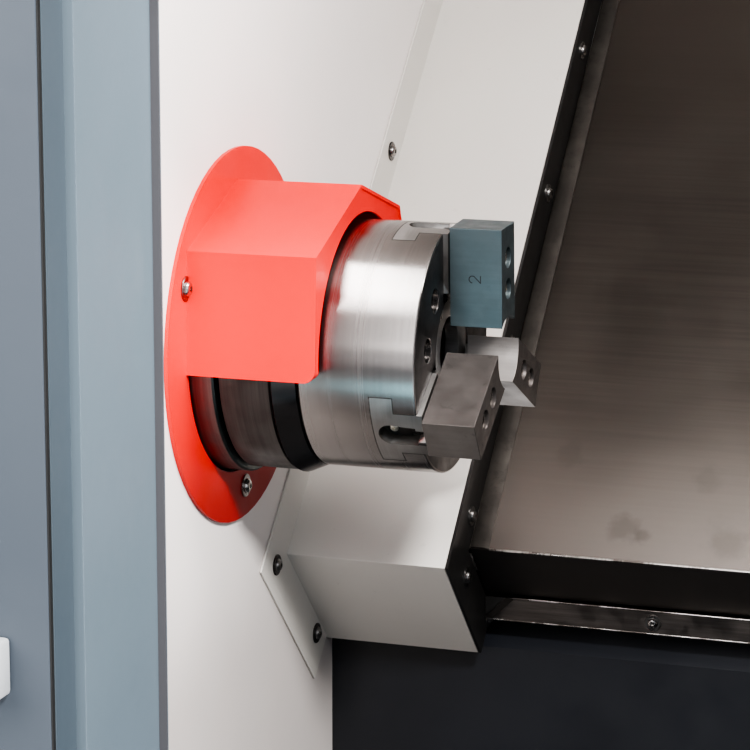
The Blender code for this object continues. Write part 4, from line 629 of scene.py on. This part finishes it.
def fine_chuck():
    """The chuck body with a truly round outside; the CAD node has 64 facets."""
    r, length = CHUCK_RADIUS, CHUCK_LENGTH
    profile = [(0.05, -length), (r - 0.003, -length), (r - 0.0009, -length + 0.0018), (r, -length + 0.003),
               (r, -0.0015), (r - 0.0004, -0.0006), (r - 0.0015, 0), (0.045, 0), (0.045, -0.014), (0.05, -0.014),
               (0.05, -length)]
    hole = [(0, -0.013), (0.0095, -0.013), (0.0095, -0.0007), (0.0102, 0), (0.0102, 0.004), (0, 0.004)]
    body = scratch("chuck_scratch", lathe(bmesh.new(), profile, aim(CENTRE), 240))
    cutters = []
    for angle in JAW_ANGLES:
        cutters.append(scratch("slot_scratch", prism(bmesh.new(), slot_outline(), 0.042, r + 0.004, spoke(angle))))
        for at in face_screws(0, angle):
            cutters.append(scratch("hole_scratch", lathe(bmesh.new(), hole, aim(at), 40)))
    mesh = carved(body, cutters)
    round_normals(mesh)
    obj = place_mesh("chuck_body_fine", mesh, FINISH["bright_steel"], "spindle", CENTRE)
    obj.data.materials.append(CHUCK_FACE)
    for face in obj.data.polygons:
        face.material_index = int(face.normal.x > 0.9)
    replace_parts(obj, "chuck_body")


def jaw_with_painted_highlight():
    """The far jaw: a paler copy of the jaw steel paints a highlight on its scooped end and underside, while its front
    and its bolt holes keep the plain jaw steel.
    """
    obj = piece("top_jaw_3_fine", welded("top_jaw_3"), JAW_PAINTED_HIGHLIGHT, "jaw_3", CENTRE, 28)
    obj.data.materials.append(FINISH["jaw_steel"])
    bolts = [radial(JAW_ANGLES[2]) * distance for distance in JAW_BOLT_AT]
    for face in obj.data.polygons:
        in_hole = any(hypot(*(face.center - bolt).yz) < NEAR_BOLT for bolt in bolts)
        # The front and the bolt holes keep the plain jaw steel; every other face carries the painted highlight.
        face.material_index = int(face.normal.x > 0.9 or in_hole)
    soften(obj, "broken_edges", TOP_JAW_EDGE)
    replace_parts(obj, "top_jaw_3")


def grime():
    """Dark, oily dirt in joints and pockets; in the T-nut pockets it also paints their shade."""
    s = Shader("joint_grime_and_shade", (0.012, 0.011, 0.01), 0.5)
    s.paint(s.mix(s.noise(300, 3), (0.008, 0.007, 0.006), (0.03, 0.026, 0.022)))
    s.rough(s.cloud(90, 3, 0.4, 0.65))
    return s.material


GRIME_AND_SHADE = grime()


def master_jaws():
    """The master jaws with the worn, open pocket round the T-nut at the outer end, dark with grime that also paints
    its shade.
    """
    for number, angle in enumerate(JAW_ANGLES, 1):
        name = f"master_jaw_{number}"
        base = scratch("jaw_scratch", welded(name))
        round_end = [(-0.0242 + 0.0104 * cos(radians(a)), 0.0104 * sin(radians(a)))
                     for a in range(90, 271, 15)]
        pocket = prism(bmesh.new(), [(-0.003, -0.0088), (-0.003, 0.01), *round_end], 0.0895, 0.11,
                       spoke(angle))
        mesh = carved(base, [scratch("pocket_scratch", pocket)])
        round_normals(mesh)
        obj = place_mesh(f"{name}_fine", mesh, FINISH[SLOT_OF[name]], f"jaw_{number}", CENTRE)
        obj.data.materials.append(CHUCK_FACE)
        obj.data.materials.append(GRIME_AND_SHADE)
        to_jaw = spoke(angle).inverted() @ Matrix.Translation(CENTRE)
        for face in obj.data.polygons:
            x, t, out = to_jaw @ face.center
            # The pocket's faces get the grime: dirt, and painted shade in the recess.
            inside = -0.0347 < x < -0.0029 and abs(t) < 0.01045 and 0.089 < out < 0.1006
            face.material_index = 2 if inside else int(face.normal.x > 0.9 or face.center.x > 0.0002)
        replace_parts(obj, name)


def joint_lines():
    """Dark, oily joint lines round the master jaws where they come out of the chuck's outside."""
    shape = bmesh.new()
    width, tuck, steps = 0.0008, -0.00028, 12
    inner, outer = slot_outline(tuck), slot_outline(width + tuck)
    path = list(range(1, 8)) + [0]
    sunk, proud = -0.0008, 0.00004
    for angle in JAW_ANGLES:
        to_machine = spoke(angle)
        for a, b in zip(path, path[1:]):
            rows = []
            for k in range(steps + 1):
                rows.append([])
                for outline, lift in ((inner, sunk), (inner, proud), (outer, proud), (outer, sunk)):
                    x, t = (outline[a][i] + (outline[b][i] - outline[a][i]) * k / steps for i in (0, 1))
                    height = sqrt((CHUCK_RADIUS + lift) ** 2 - t * t)
                    rows[-1].append(shape.verts.new(to_machine @ Vector((min(x, -0.0018), t, height))))
            for low, high in zip(rows, rows[1:]):
                for i in range(4):
                    if (low[i].co - high[i].co).length > 1e-7:
                        j = (i + 1) % 4
                        shape.faces.new([low[i], low[j], high[j], high[i]])
            shape.faces.new(rows[0])
            shape.faces.new(rows[-1][::-1])
    piece("joint_lines", shape, GRIME_AND_SHADE, "spindle")


def nuts():
    """The T-nuts in the master jaws, which the jaw bolts screw into, and a bright screw end in each."""
    half, neck = 0.008, 0.0057
    outline = [(0.0035, -neck), (0.0035, neck), (-0.0106, neck), (-0.0106, half), (-0.0252, half),
               (-0.029, half * 0.5), (-0.029, -half * 0.5), (-0.0252, -half), (-0.0106, -half), (-0.0106, -neck)]
    screw_end = [(0, 0), (0.0034, 0), (0.0034, 0.0011), (0.0026, 0.0016), (0.0012, 0.0016), (0.0009, 0.0006),
                 (0, 0.0006)]
    for number, angle in enumerate(JAW_ANGLES, 1):
        slab(f"t_nut_{number}", outline, 0.0545, 0.0925, spoke(angle), BOLT_DARK, f"jaw_{number}")
        at = nose(-0.0238, 0, 0) + radial(angle) * 0.0924
        spun(f"t_nut_screw_end_{number}", screw_end, aim(at, radial(angle)), 24, PALE_METAL, f"jaw_{number}")


def chuck_details():
    """The cap screws in the chuck's face and in the top jaws."""
    caps = bmesh.new()
    for angle in JAW_ANGLES:
        for at in face_screws(-0.0129, angle):
            socket_head(caps, aim(at), 0.0082, 0.0075, 0.0042, 0.0045)
    piece("chuck_screws", caps, BOLT_DARK, "spindle")
    for number, angle in enumerate(JAW_ANGLES, 1):
        bolts = bmesh.new()
        for distance in JAW_BOLT_AT:
            at = nose(JAW_END - 0.0118, 0, 0) + radial(angle) * distance
            socket_head(bolts, aim(at), 0.0072, 0.0095, 0.0038, 0.0055)
        piece(f"jaw_bolts_{number}", bolts, BOLT_BRIGHT, f"jaw_{number}")


fine_chuck()
jaw_with_painted_highlight()
master_jaws()
joint_lines()
nuts()
chuck_details()


# ---------------------------------------------------------------- bed covers, gutter, door and jamb
COVER_TOP = 0.64605
STEEL_LOW = CREAM_CORNER + END_BAND + END_PLATE
RIM_END = STEEL_X + 0.018
FIXED_END = STEEL_X + 0.3
GUTTER_FACE = 0.2292
GUTTER_UP, GUTTER_DOWN = -0.273, -0.2945
GUTTER_END = 1.136


def rim_steel():
    """The dull, stained steel of the strip on the cover's end."""
    s = Shader("rim_steel", (0.13, 0.12, 0.11), 0.66, 0.9)
    wear = s.mix(s.patches(22, 4, 0.35, 0.65), (0.086, 0.077, 0.069), (0.056, 0.05, 0.045))
    stain = s.patches(95, 5, 0.5, 0.68, 0.55, 0.7)
    s.paint(s.mix(stain, wear, (0.036, 0.032, 0.029)))
    s.rough(s.cloud(60, 4, 0.58, 0.74))
    s.bump(s.noise(260, 3), 0.1, 0.0003)
    return s.material


def worn_edge():
    """A folded steel edge rubbed bright in patches."""
    s = Shader("worn_edge_steel", (0.5, 0.47, 0.44), 0.32, 1.0)
    patch = s.ramp(s.noise(34, 6, (1, 0.3, 0.3), 0.7), 0.42, 0.58)
    s.paint(s.mix(patch, (0.62, 0.585, 0.555), (0.15, 0.13, 0.118)))
    s.rough(s.cloud(60, 4, 0.24, 0.45))
    return s.material


def bead(name, left, right, point, radius, material, body="machine"):
    """A thin round edge along X, between two distances from a point."""
    seat = frame_at(point, (0, 1, 0), (0, 0, 1), (1, 0, 0))
    slab(name, polygon(radius, 12, 0.2), left, right, seat, material, body)


def bed_cover_details():
    """The raised rim, the worn edges and the gutter's folded end beside the steel cover."""
    rim, worn = rim_steel(), worn_edge()
    low, high = 0.0012, 0.0026
    outline = [(STEEL_X + 0.0006, low), (STEEL_X + 0.003, high), (RIM_END - 0.0045, high), (RIM_END - 0.0002, low)]
    out, up = Vector((0, -1, 1)).normalized(), Vector((0, 1, 1)).normalized()
    slab("cover_rim_strip", outline, STEEL_LOW + 0.0004, COVER_TOP - 0.0008,
         frame_at(on_slope(0, STEEL_N, 0), (1, 0, 0), out, up), rim)
    bead("fixed_cover_edge", RIM_END, FIXED_END - 0.0006, on_slope(0, STEEL_N - 0.0006, STEEL_LOW + 0.0006), 0.0012,
         worn)
    bead("moving_cover_edge", FIXED_END + 0.001, 0.5264, on_slope(0, STEEL_N - 0.0032, STEEL_LOW + 0.0032), 0.0012,
         worn, "saddle")
    lip, fold = nose(0, GUTTER_FACE + 0.0008, GUTTER_UP - 0.0002), nose(0, GUTTER_FACE + 0.0006, GUTTER_DOWN + 0.0004)
    bead("gutter_lip_edge", STEEL_X + 0.026, GUTTER_END, lip, 0.0011, worn)
    bead("gutter_fold_edge", STEEL_X + 0.001, GUTTER_END, fold, 0.001, worn)
    front = frame_at(CENTRE, (1, 0, 0), (0, 0, 1), (0, 1, 0))
    x = STEEL_X + 0.0008
    slab("gutter_end_gusset", [(x, GUTTER_DOWN + 0.0012), (x + 0.0065, GUTTER_DOWN + 0.0012),
                               (x + 0.026, GUTTER_UP - 0.0012), (x + 0.019, GUTTER_UP + 0.0004)],
         GUTTER_FACE - 0.0016, GUTTER_FACE - 0.0002, front, rim)
    slab("gutter_end_corner", [(x, GUTTER_DOWN + 0.0045), (x + 0.0175, GUTTER_UP), (x, GUTTER_UP)],
         GUTTER_FACE - 0.001, GUTTER_FACE - 0.0002, front, FINISH["black"])
    screws("gutter_screw", [nose(x_at, GUTTER_FACE, -0.2838) for x_at in (0.12, 0.42, 0.72, 1.02)],
           (0, -1, 0), 0.0046)


def door_details():
    """A black strip that paints the shadow of the gap and a paler strip that paints light on the door's closing edge,
    and the folded edge of the jamb.
    """
    edge, front = -0.127, -0.5
    jamb, back = -0.1215, -0.455 + 0.13 - 0.003
    low, high = -0.3085, 0.5085
    flat = Matrix.Translation(CENTRE)
    # Painted shadow: a black strip on the door's closing edge stands for the shaded gap between door and jamb.
    slab("door_gap_painted_shadow", [(edge - 0.0005, front + 0.0006), (edge + 0.001, front + 0.0012),
                            (edge + 0.001, front + 0.005), (edge - 0.0005, front + 0.0056)],
         low, high, flat, FINISH["rubber"], "door")
    # Painted light: a strip paler than the door paint on the door's closing edge, which gets less light.
    slab("door_edge_trim", [(edge - 0.0005, front + 0.0064), (edge + 0.0008, front + 0.007),
                            (edge + 0.0008, front + 0.0385), (edge - 0.0005, front + 0.0392)],
         low, high, flat, DOOR_EDGE_PAINTED_LIGHT, "door")
    slab("jamb_fold", [(jamb - 0.0002, back - 0.001), (jamb + 0.0062, back - 0.001), (jamb + 0.0062, back + 0.0002),
                       (jamb - 0.0002, back + 0.0002)], -0.2735, 0.4735, flat, FOLD_GREY)


def engraved_two():
    """The plain number on the upper jaw's side."""
    jaw = JAW_ANGLES[0]
    height, width, stroke = 0.0095, 0.0056, 0.0008
    curve = [(cos(radians(a)) * width / 2, height * 0.7 + sin(radians(a)) * width / 2) for a in range(170, -50, -20)]
    path = [Vector((height / 2 - up, x)) for x, up in (*curve, (-width / 2, 0), (width / 2, 0))]
    shape = bmesh.new()
    seat = frame_at(nose(0.025, 0, 0) + radial(jaw) * 0.0625 + across(jaw) * 0.0185, (1, 0, 0), radial(jaw),
                    across(jaw))
    for a, b in zip(path, path[1:]):
        run = (b - a).normalized() * stroke * 0.45
        side = Vector((-run.y, run.x)).normalized() * stroke / 2
        prism(shape, [a - run - side, b + run - side, b + run + side, a - run + side], SUNK, 0.00006, seat)
    piece("jaw_number", shape, INK, "jaw_1")


bed_cover_details()
door_details()
engraved_two()


# ---------------------------------------------------------------- enclosure, controls, cabinet and turret
def facing(x_axis, place):
    """Takes (right, up, outwards) of an upright face to the machine's frame; place is a point on the face."""
    x_axis, up = Vector(x_axis), Vector((0, 0, 1))
    return frame_at(place, x_axis, up, x_axis.cross(up))


FRONT, BACK, LEFT = (1, 0, 0), (-1, 0, 0), (0, -1, 0)


def rounded(cx, cy, width, height, r, steps=3):
    """A rectangle's outline with round corners."""
    outline = []
    for turn, sx, sy in ((0, 1, 1), (1, -1, 1), (2, -1, -1), (3, 1, -1)):
        x, y = cx + sx * (width / 2 - r), cy + sy * (height / 2 - r)
        turns = [pi / 2 * (turn + k / steps) for k in range(steps + 1)]
        outline += [(x + r * cos(a), y + r * sin(a)) for a in turns]
    return outline


def ring(shape, outer, inner, low, high, matrix):
    """A flat frame between two outlines with the same number of points."""
    levels = [points(shape, outline, h, matrix)
              for outline, h in ((outer, low), (outer, high), (inner, high), (inner, low))]
    for a, b in zip(levels, levels[1:] + levels[:1]):
        wall(shape, a, b)


def slat(shape, section, middle, left, right, matrix):
    """A slat along X at a height, with a section of (outwards, up) points."""
    ends = [[shape.verts.new(matrix @ Vector((x, middle + up, out))) for out, up in section] for x in (left, right)]
    shape.faces.new(ends[0])
    shape.faces.new(ends[1][::-1])
    wall(shape, *ends)


def flat_screws(name, places, axis, radius):
    """Countersunk screws that stand less than half a millimetre proud, with dark sockets."""
    heads, sockets = bmesh.new(), bmesh.new()
    for point in places:
        seat = aim(point, axis)
        lathe(heads, [(0, -0.001), (radius, -0.001), (radius, 0.0001), (radius * 0.94, 0.0004), (0, 0.0004)], seat,
              24)
        prism(sockets, polygon(radius * 0.42, 6), 0.0001, 0.00045, seat)
    piece(f"{name}_heads", heads, BOLT_GREY)
    piece(f"{name}_sockets", sockets, BOLT_DARK)


def louvred(name, face, width, pitch, count, blade_name):
    """A panel with a column of louvre slots cut through, and the slanted blades behind them."""
    cutter, blades = bmesh.new(), bmesh.new()
    half = width / 2 + 0.004
    for up in (pitch * k for k in range(count)):
        prism(cutter, rounded(0, up, width, 0.011, 0.0054), -0.006, 0.004, face)
        slat(blades, [(-0.0032, -0.0065), (-0.0032, -0.0052), (-0.015, 0.0105), (-0.015, 0.0092)], up, -half, half,
             face)
    mesh = carved(scratch("panel_scratch", welded(name)), [scratch("slot_scratch", cutter)])
    if "custom_normal" in mesh.attributes:
        mesh.attributes.remove(mesh.attributes["custom_normal"])
    smooth_below(mesh, 28)
    panel = place_mesh(f"{name}_louvred", mesh, FINISH[SLOT_OF[name]], "machine", (0, 0, 0))
    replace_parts(panel, name)
    piece(blade_name, blades, FINISH["dark_base"])


PANEL_Y = -0.743
STOP_AT = aim((0.78, PANEL_Y, 1.1), (0, -1, 0))
KNOB_PLACE = (1.00, PANEL_Y, 1.1)


def panel_details():
    """Screen glass, membrane keys, ring round the stop and ticks round the knob of the operator's panel."""
    glass = Shader("screen_glass", (0.01, 0.014, 0.018), 0.08)
    # Painted light: the screen glass paler and bluer towards its top.
    glass.paint(glass.mix(glass.ramp(glass.axis("Z"), 1.24, 1.43), (0.006, 0.012, 0.018), (0.016, 0.03, 0.042)))
    marks = painted("pale_marks", (0.62, 0.63, 0.62), 0.5, 0.95, 0.02)
    keys_finish = painted("key_pads", (0.2, 0.215, 0.23), 0.5, 0.92, 0.05)
    yellow = painted("stop_ring_yellow", (0.8, 0.5, 0.02), 0.42, 0.95, 0.03)
    face = facing(FRONT, (0.89, PANEL_Y, 1.25))
    slab("screen_glass", rounded(0, 0.085, 0.266, 0.186, 0.004), -0.004, -0.003, face, glass.material)
    bars, bezel, keys, ticks = (bmesh.new() for _ in range(4))
    for row, width in enumerate((0.11, 0.15, 0.094, 0.128, 0.15, 0.072)):
        prism(bars, rounded(-0.115 + width / 2, 0.152 - row * 0.025, width, 0.0055, 0.002), -0.0031, -0.00295, face)
    piece("screen_rows", bars, painted("screen_rows", (0.1, 0.3, 0.36), 0.4, 0.8, 0.01))
    ring(bezel, rounded(0, 0.085, 0.284, 0.204, 0.009), rounded(0, 0.085, 0.268, 0.188, 0.004), SUNK, 0.0016, face)
    piece("screen_bezel", bezel, FINISH["black_plastic"])
    for column in range(10):
        for row in range(4):
            pad = rounded(-0.1125 + column * 0.025, -0.036 - row * 0.02, 0.02, 0.015, 0.003)
            prism(keys, pad, SUNK, 0.0006, face)
    piece("membrane_keys", keys, keys_finish)
    spun("stop_ring", [(0.0225, SUNK), (0.03, SUNK), (0.03, 0.0008), (0.0225, 0.0008), (0.0225, SUNK)],
         STOP_AT, 40, yellow)
    for k in range(13):
        prism(ticks, [(0.0225, -0.0005), (0.027, -0.0005), (0.027, 0.0005), (0.0225, 0.0005)], SUNK, 0.0003,
              facing(FRONT, KNOB_PLACE) @ Matrix.Rotation(radians(-60 + 25 * k), 4, "Z"))
    piece("knob_ticks", ticks, marks)
    slab("knob_pointer", [(-0.0006, 0.002), (0.0006, 0.002), (0.0006, 0.011), (-0.0006, 0.011)], SUNK, 0.0002,
         facing(FRONT, (1.00, PANEL_Y - 0.02, 1.1)), marks, "override_knob")
    flat_screws("panel_screw", [(x, PANEL_Y, z) for x in (0.703, 1.077) for z in (1.043, 1.457)], (0, -1, 0), 0.0045)


def controls():
    """The mushroom button and the fluted knob, rounder than their CAD nodes."""
    mushroom = [(0, -0.005), (0.0105, -0.005), (0.0105, 0.0087), (0.0188, 0.0124), (0.02, 0.0138),
                (0.02, 0.0198), (0.0194, 0.022), (0.0176, 0.0243), (0.014, 0.0256), (0.007, 0.026), (0, 0.026)]
    button = spun("emergency_stop_fine", mushroom, STOP_AT, 56, FINISH["stop_red"], "emergency_stop")
    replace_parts(button, "emergency_stop")
    knob, at = bmesh.new(), aim(KNOB_PLACE, (0, -1, 0))
    lathe(knob, [(0, -0.0055), (0.019, -0.0055), (0.019, 0.004), (0.0182, 0.0052), (0, 0.0052)], at, 56)
    flutes = [(0.0156 + 0.0006 * cos(18 * a), a) for a in (tau * k / 144 for k in range(144))]
    prism(knob, [(r * cos(a), r * sin(a)) for r, a in flutes], 0.005, 0.019, at)
    lathe(knob, [(0, 0.0185), (0.0146, 0.0185), (0.0146, 0.0192), (0.0138, 0.02), (0, 0.02)], at, 56)
    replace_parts(piece("override_knob_fine", knob, FINISH["black_plastic"], "override_knob"), "override_knob")


BOXES = {name: [Vector(corner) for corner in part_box(name)] for name in ("door_window", "bed_casting")}
FACE_Y, BACK_Y, END_X = -0.695, 0.56, 1.1533


def enclosure_details():
    """The window's gasket, and the screws and louvres of the sheet covers."""
    low, high = BOXES["door_window"]
    width, height = high.x - low.x, high.z - low.z
    gasket = bmesh.new()
    ring(gasket, rounded(0, 0, width + 0.03, height + 0.03, 0.014, 5),
         rounded(0, 0, width - 0.01, height - 0.01, 0.008, 5), SUNK, 0.0022,
         facing(FRONT, ((low.x + high.x) / 2, -0.74, (low.z + high.z) / 2)))
    piece("window_gasket", gasket, FINISH["rubber"], "door")
    flat_screws("track_screw", [(-1.1 + 0.205 * k, -0.7455, z) for k in range(9) for z in (0.694, 1.506)],
                (0, -1, 0), 0.003)
    screws("fascia_screw", [(0.36 * k, FACE_Y, z) for k in range(-3, 4) for z in (0.462, 1.538)], (0, -1, 0), 0.0048,
           rest=0)
    screws("apron_screw", [(x, FACE_Y, z) for x in (-1.1, -0.75, -0.4, 1.06) for z in (0.15, 0.42)], (0, -1, 0),
           0.0048, rest=0)
    screws("roof_screw", [(0.36 * k, -0.6775, 1.5785) for k in range(-3, 4)], (0, -1, 1), 0.0042, rest=0)
    screws("rear_screw", [(x, BACK_Y, z) for x in (-1.11, -0.62, -0.13, 0.93, 1.11) for z in (0.15, 0.92, 1.69)
                          if (x, z) != (0.93, 0.92)], (0, 1, 0), 0.0048, rest=0)
    for name, side in (("left", -1), ("right", 1)):
        places = [(side * (END_X - GAP), y, z) for y in (-0.665, -0.06, 0.53) for z in (0.15, 1.46)]
        flat_screws(f"{name}_end_screw", places, (side, 0, 0), 0.006)
    louvred("rear_cover", facing(BACK, (-0.72, BACK_Y, 0.62)), 0.36, 0.028, 11, "rear_louvres")
    louvred("left_end_cover", facing(LEFT, (-END_X, -0.25, 0.42)), 0.3, 0.028, 11, "left_louvres")
    louvred("lower_apron", facing(FRONT, (-0.74, FACE_Y, 0.215)), 0.34, 0.026, 6, "apron_louvres")


def cabinet_details():
    """Hinges, lock plate and filter grille of the electrical cabinet."""
    fixed, moving = bmesh.new(), bmesh.new()
    for z in (0.46, 0.935, 1.41):
        for shape, low, high in ((fixed, 0.0, 0.022), (moving, 0.0225, 0.0475), (fixed, 0.048, 0.07)):
            knuckle = [(0, low), (0.0062, low), (0.007, low + 0.0008), (0.007, high - 0.0008), (0.0062, high),
                       (0, high)]
            lathe(shape, knuckle, Matrix.Translation((0.9, 0.7402, z - 0.035)), 24)
    piece("hinge_knuckles_fixed", fixed, FINISH["zinc"])
    piece("hinge_knuckles_moving", moving, FINISH["zinc"], "cabinet_door")
    x, y, z = -0.061, 0.762, 0.935
    slab("latch_plate", rounded(0, 0, 0.044, 0.15, 0.006), SUNK, 0.0015, facing(BACK, (x, y, z)), FINISH["zinc"],
         "cabinet_door")
    screws("latch_screw", [(x, y + 0.0015, z + side * 0.066) for side in (-1, 1)], (0, 1, 0), 0.0042, "cabinet_door",
           rest=0)
    grille, at = bmesh.new(), facing(BACK, (0.4, y, 0.56))
    opening = rounded(0, 0, 0.206, 0.206, 0.004)
    ring(grille, rounded(0, 0, 0.24, 0.24, 0.01), opening, SUNK, 0.008, at)
    for k in range(13):
        slat(grille, [(0.0002, -0.005), (0.0015, -0.0058), (0.0066, 0.003), (0.0053, 0.0038)], -0.096 + 0.016 * k,
             -0.1035, 0.1035, at)
    piece("filter_grille", grille, FINISH["handle_grey"], "cabinet_door", smooth=25)
    slab("filter_mat", opening, -0.0001, 0.0002, at, FINISH["black_plastic"], "cabinet_door")


def turret_details():
    """Clamp screws between the stations, the hub cap, and the carbide tips of the two tools."""
    centre = Vector((0.182, -0.0067, 1.2333))
    clamps, hub, tips = (bmesh.new() for _ in range(3))
    for k in range(12):
        out = radial(radians(240 + 30 * k))
        for radius, *sizes in ((0.139, 0.008, 0.006, 0.0042, 0.004), (0.098, 0.0065, 0.005, 0.0034, 0.0035)):
            socket_head(clamps, aim(centre + out * radius, (-1, 0, 0)), *sizes)
    piece("turret_screws", clamps, BOLT_DARK, "turret")
    cap = [(0, 0), (0.0545, 0), (0.0545, 0.0045), (0.053, 0.006), (0.02, 0.006), (0.018, 0.0045), (0, 0.0045)]
    spun("turret_hub_cap", cap, aim(centre + Vector((0.006, 0, 0)), (-1, 0, 0)), 48, FINISH["steel"], "turret")
    for k in range(6):
        socket_head(hub, aim(centre + radial(tau * k / 6) * 0.038, (-1, 0, 0)), 0.005, 0.004, 0.0026, 0.0028)
    piece("turret_hub_screws", hub, BOLT_DARK, "turret")
    for angle in (radians(225), radians(315)):
        prism(tips, [(-0.0004, -0.0122), (0.011, -0.0096), (0.014, 0.002), (0.0026, -0.0006)], -0.0046, 0.0002,
              spoke(angle, centre + Vector((-0.02, 0, 0)) + radial(angle) * 0.1684))
    carbide = machined("carbide_coating", (0.6, 0.43, 0.16), 0.3, (1, 1, 1), 60, 0.1, 0.04)
    piece("carbide_tips", tips, carbide, "turret")


def foot_nuts():
    shape = bmesh.new()
    for x in (-0.795, 0.13, 1.055):
        for y in (-0.405, BOXES["bed_casting"][1].y - 0.045):
            prism(shape, polygon(0.0205, 6), 0.0212, 0.0292, Matrix.Translation((x, y, 0)))
    piece("foot_nuts", shape, FINISH["zinc"])


panel_details()
controls()
enclosure_details()
cabinet_details()
turret_details()
foot_nuts()


# ---------------------------------------------------------------- stage, light and camera
def area(name, place, target, size, power, colour=(1, 1, 1), glossy=True, diffuse=True, only=()):
    """A light that may be kept off everything but the pieces whose names start in one of the given ways."""
    light = bpy.data.lights.new(name, "AREA")
    light.shape = "RECTANGLE"
    light.size, light.size_y = size
    light.energy, light.color = power, colour
    obj = new_object(name, light, place)
    obj.rotation_euler = (Vector(target) - Vector(place)).to_track_quat("-Z", "Y").to_euler()
    obj.visible_camera, obj.visible_glossy, obj.visible_diffuse = False, glossy, diffuse
    if only:
        group = bpy.data.collections.new(f"lit_by_{name}")
        for lit in scene.objects:
            if lit.type == "MESH" and lit.name.startswith(only):
                group.objects.link(lit)
        obj.light_linking.receiver_collection = group


def studio():
    """The floor, the sky, the view's contrast and the lights."""
    floor = bmesh.new()
    bmesh.ops.create_grid(floor, x_segments=1, y_segments=1, size=40)
    mesh = bpy.data.meshes.new("floor")
    floor.to_mesh(mesh)
    floor.free()
    obj = new_object("floor", mesh)
    mesh.materials.append(painted("floor_pale", (0.62, 0.63, 0.63), 0.55, 0.98))
    world = bpy.data.worlds.new("studio")
    scene.world = world
    world.use_nodes = True
    sky = world.node_tree.nodes["Background"].inputs
    sky["Color"].default_value, sky["Strength"].default_value = (0.9, 0.93, 1.0, 1), 0.75
    scene.view_settings.look = "AgX - Medium High Contrast"
    area("front_key", (-1.0, -2.5, 2.15), (-0.2, -0.3, 1.0), (1.5, 1.9), 76, (1, 0.975, 0.955))
    area("right_fill", (3.2, -1.8, 2.4), (0, 0, 1.0), (2.0, 2.0), 40)
    area("rear_fill", (-1.5, 3.5, 2.8), (0, 0.3, 1.0), (2.4, 2.0), 90)
    area("work_light", (0.2, -0.42, 1.65), (-0.28, -0.02, 1.05), (0.4, 0.14), 9.5, (1, 0.965, 0.945))
    area("hall_light", (1.08, -1.85, 2.61), (-0.19, -0.24, 0.95), (0.3, 0.3), 155, (1, 0.97, 0.95), glossy=False)
    area("wall_wash", (0.02, -0.6, 1.42), (-0.327, -0.5, 1.2), (0.1, 0.3), 4.5, (1, 0.95, 0.925), glossy=False,
         only=("bulkhead_wall",))
    area("low_fill", (0.2, -1.9, 0.75), (-0.3, -0.24, 0.95), (1.2, 0.9), 3.5, (0.96, 0.98, 1.0), glossy=False)
    area("floor_glow", (-0.36, -0.95, 0.6), (-0.19, -0.34, 0.98), (0.5, 0.2), 1.8, (0.3, 0.84, 1.0), diffuse=False,
         only=("top_jaw_1", "chuck_", "master_jaw"))
    near_chuck = ("chuck_", "master_jaw", "nose_ring", "slinger")
    area("wall_sheen", (-0.325, -0.49, 1.41), (0.0, -0.49, 1.41), (0.34, 0.24), 9.0, (1, 0.98, 0.97), diffuse=False,
         only=near_chuck)
    area("room_sheen", (-0.95, -2.4, 1.1), (-0.19, -0.34, 1.05), (1.5, 0.85), 13.0, (1, 0.98, 0.97), diffuse=False,
         only=near_chuck)
    area("under_jaw", (-0.146, -0.062, 0.842), (-0.104, -0.18, 0.949), (0.12, 0.12), 0.055, (1, 0.97, 0.96),
         only=("top_jaw_3",))
    area("below_jaw", (-0.15, -0.385, 0.79), (-0.105, -0.345, 0.93), (0.14, 0.14), 0.042, (1, 0.99, 0.95),
         only=("top_jaw_2",))


def camera():
    """The camera that the photograph was fitted with."""
    data = bpy.data.cameras.new("camera")
    data.sensor_width, data.lens = 36, 132.96
    data.clip_start, data.clip_end = 0.05, 100
    obj = new_object("camera", data)
    yaw, pitch, roll = (radians(v) for v in (18.44, -11.37, 0.13))
    forward = Vector((-sin(yaw) * cos(pitch), cos(yaw) * cos(pitch), sin(pitch)))
    right = Vector((cos(yaw), sin(yaw), 0))
    up = right.cross(forward)
    right, up = right * cos(roll) + up * sin(roll), up * cos(roll) - right * sin(roll)
    turn = Matrix((right, up, -forward)).transposed()
    obj.matrix_world = Matrix.Translation((0.49773, -2.35027, 1.42094)) @ turn.to_4x4()
    scene.camera = obj


studio()
camera()
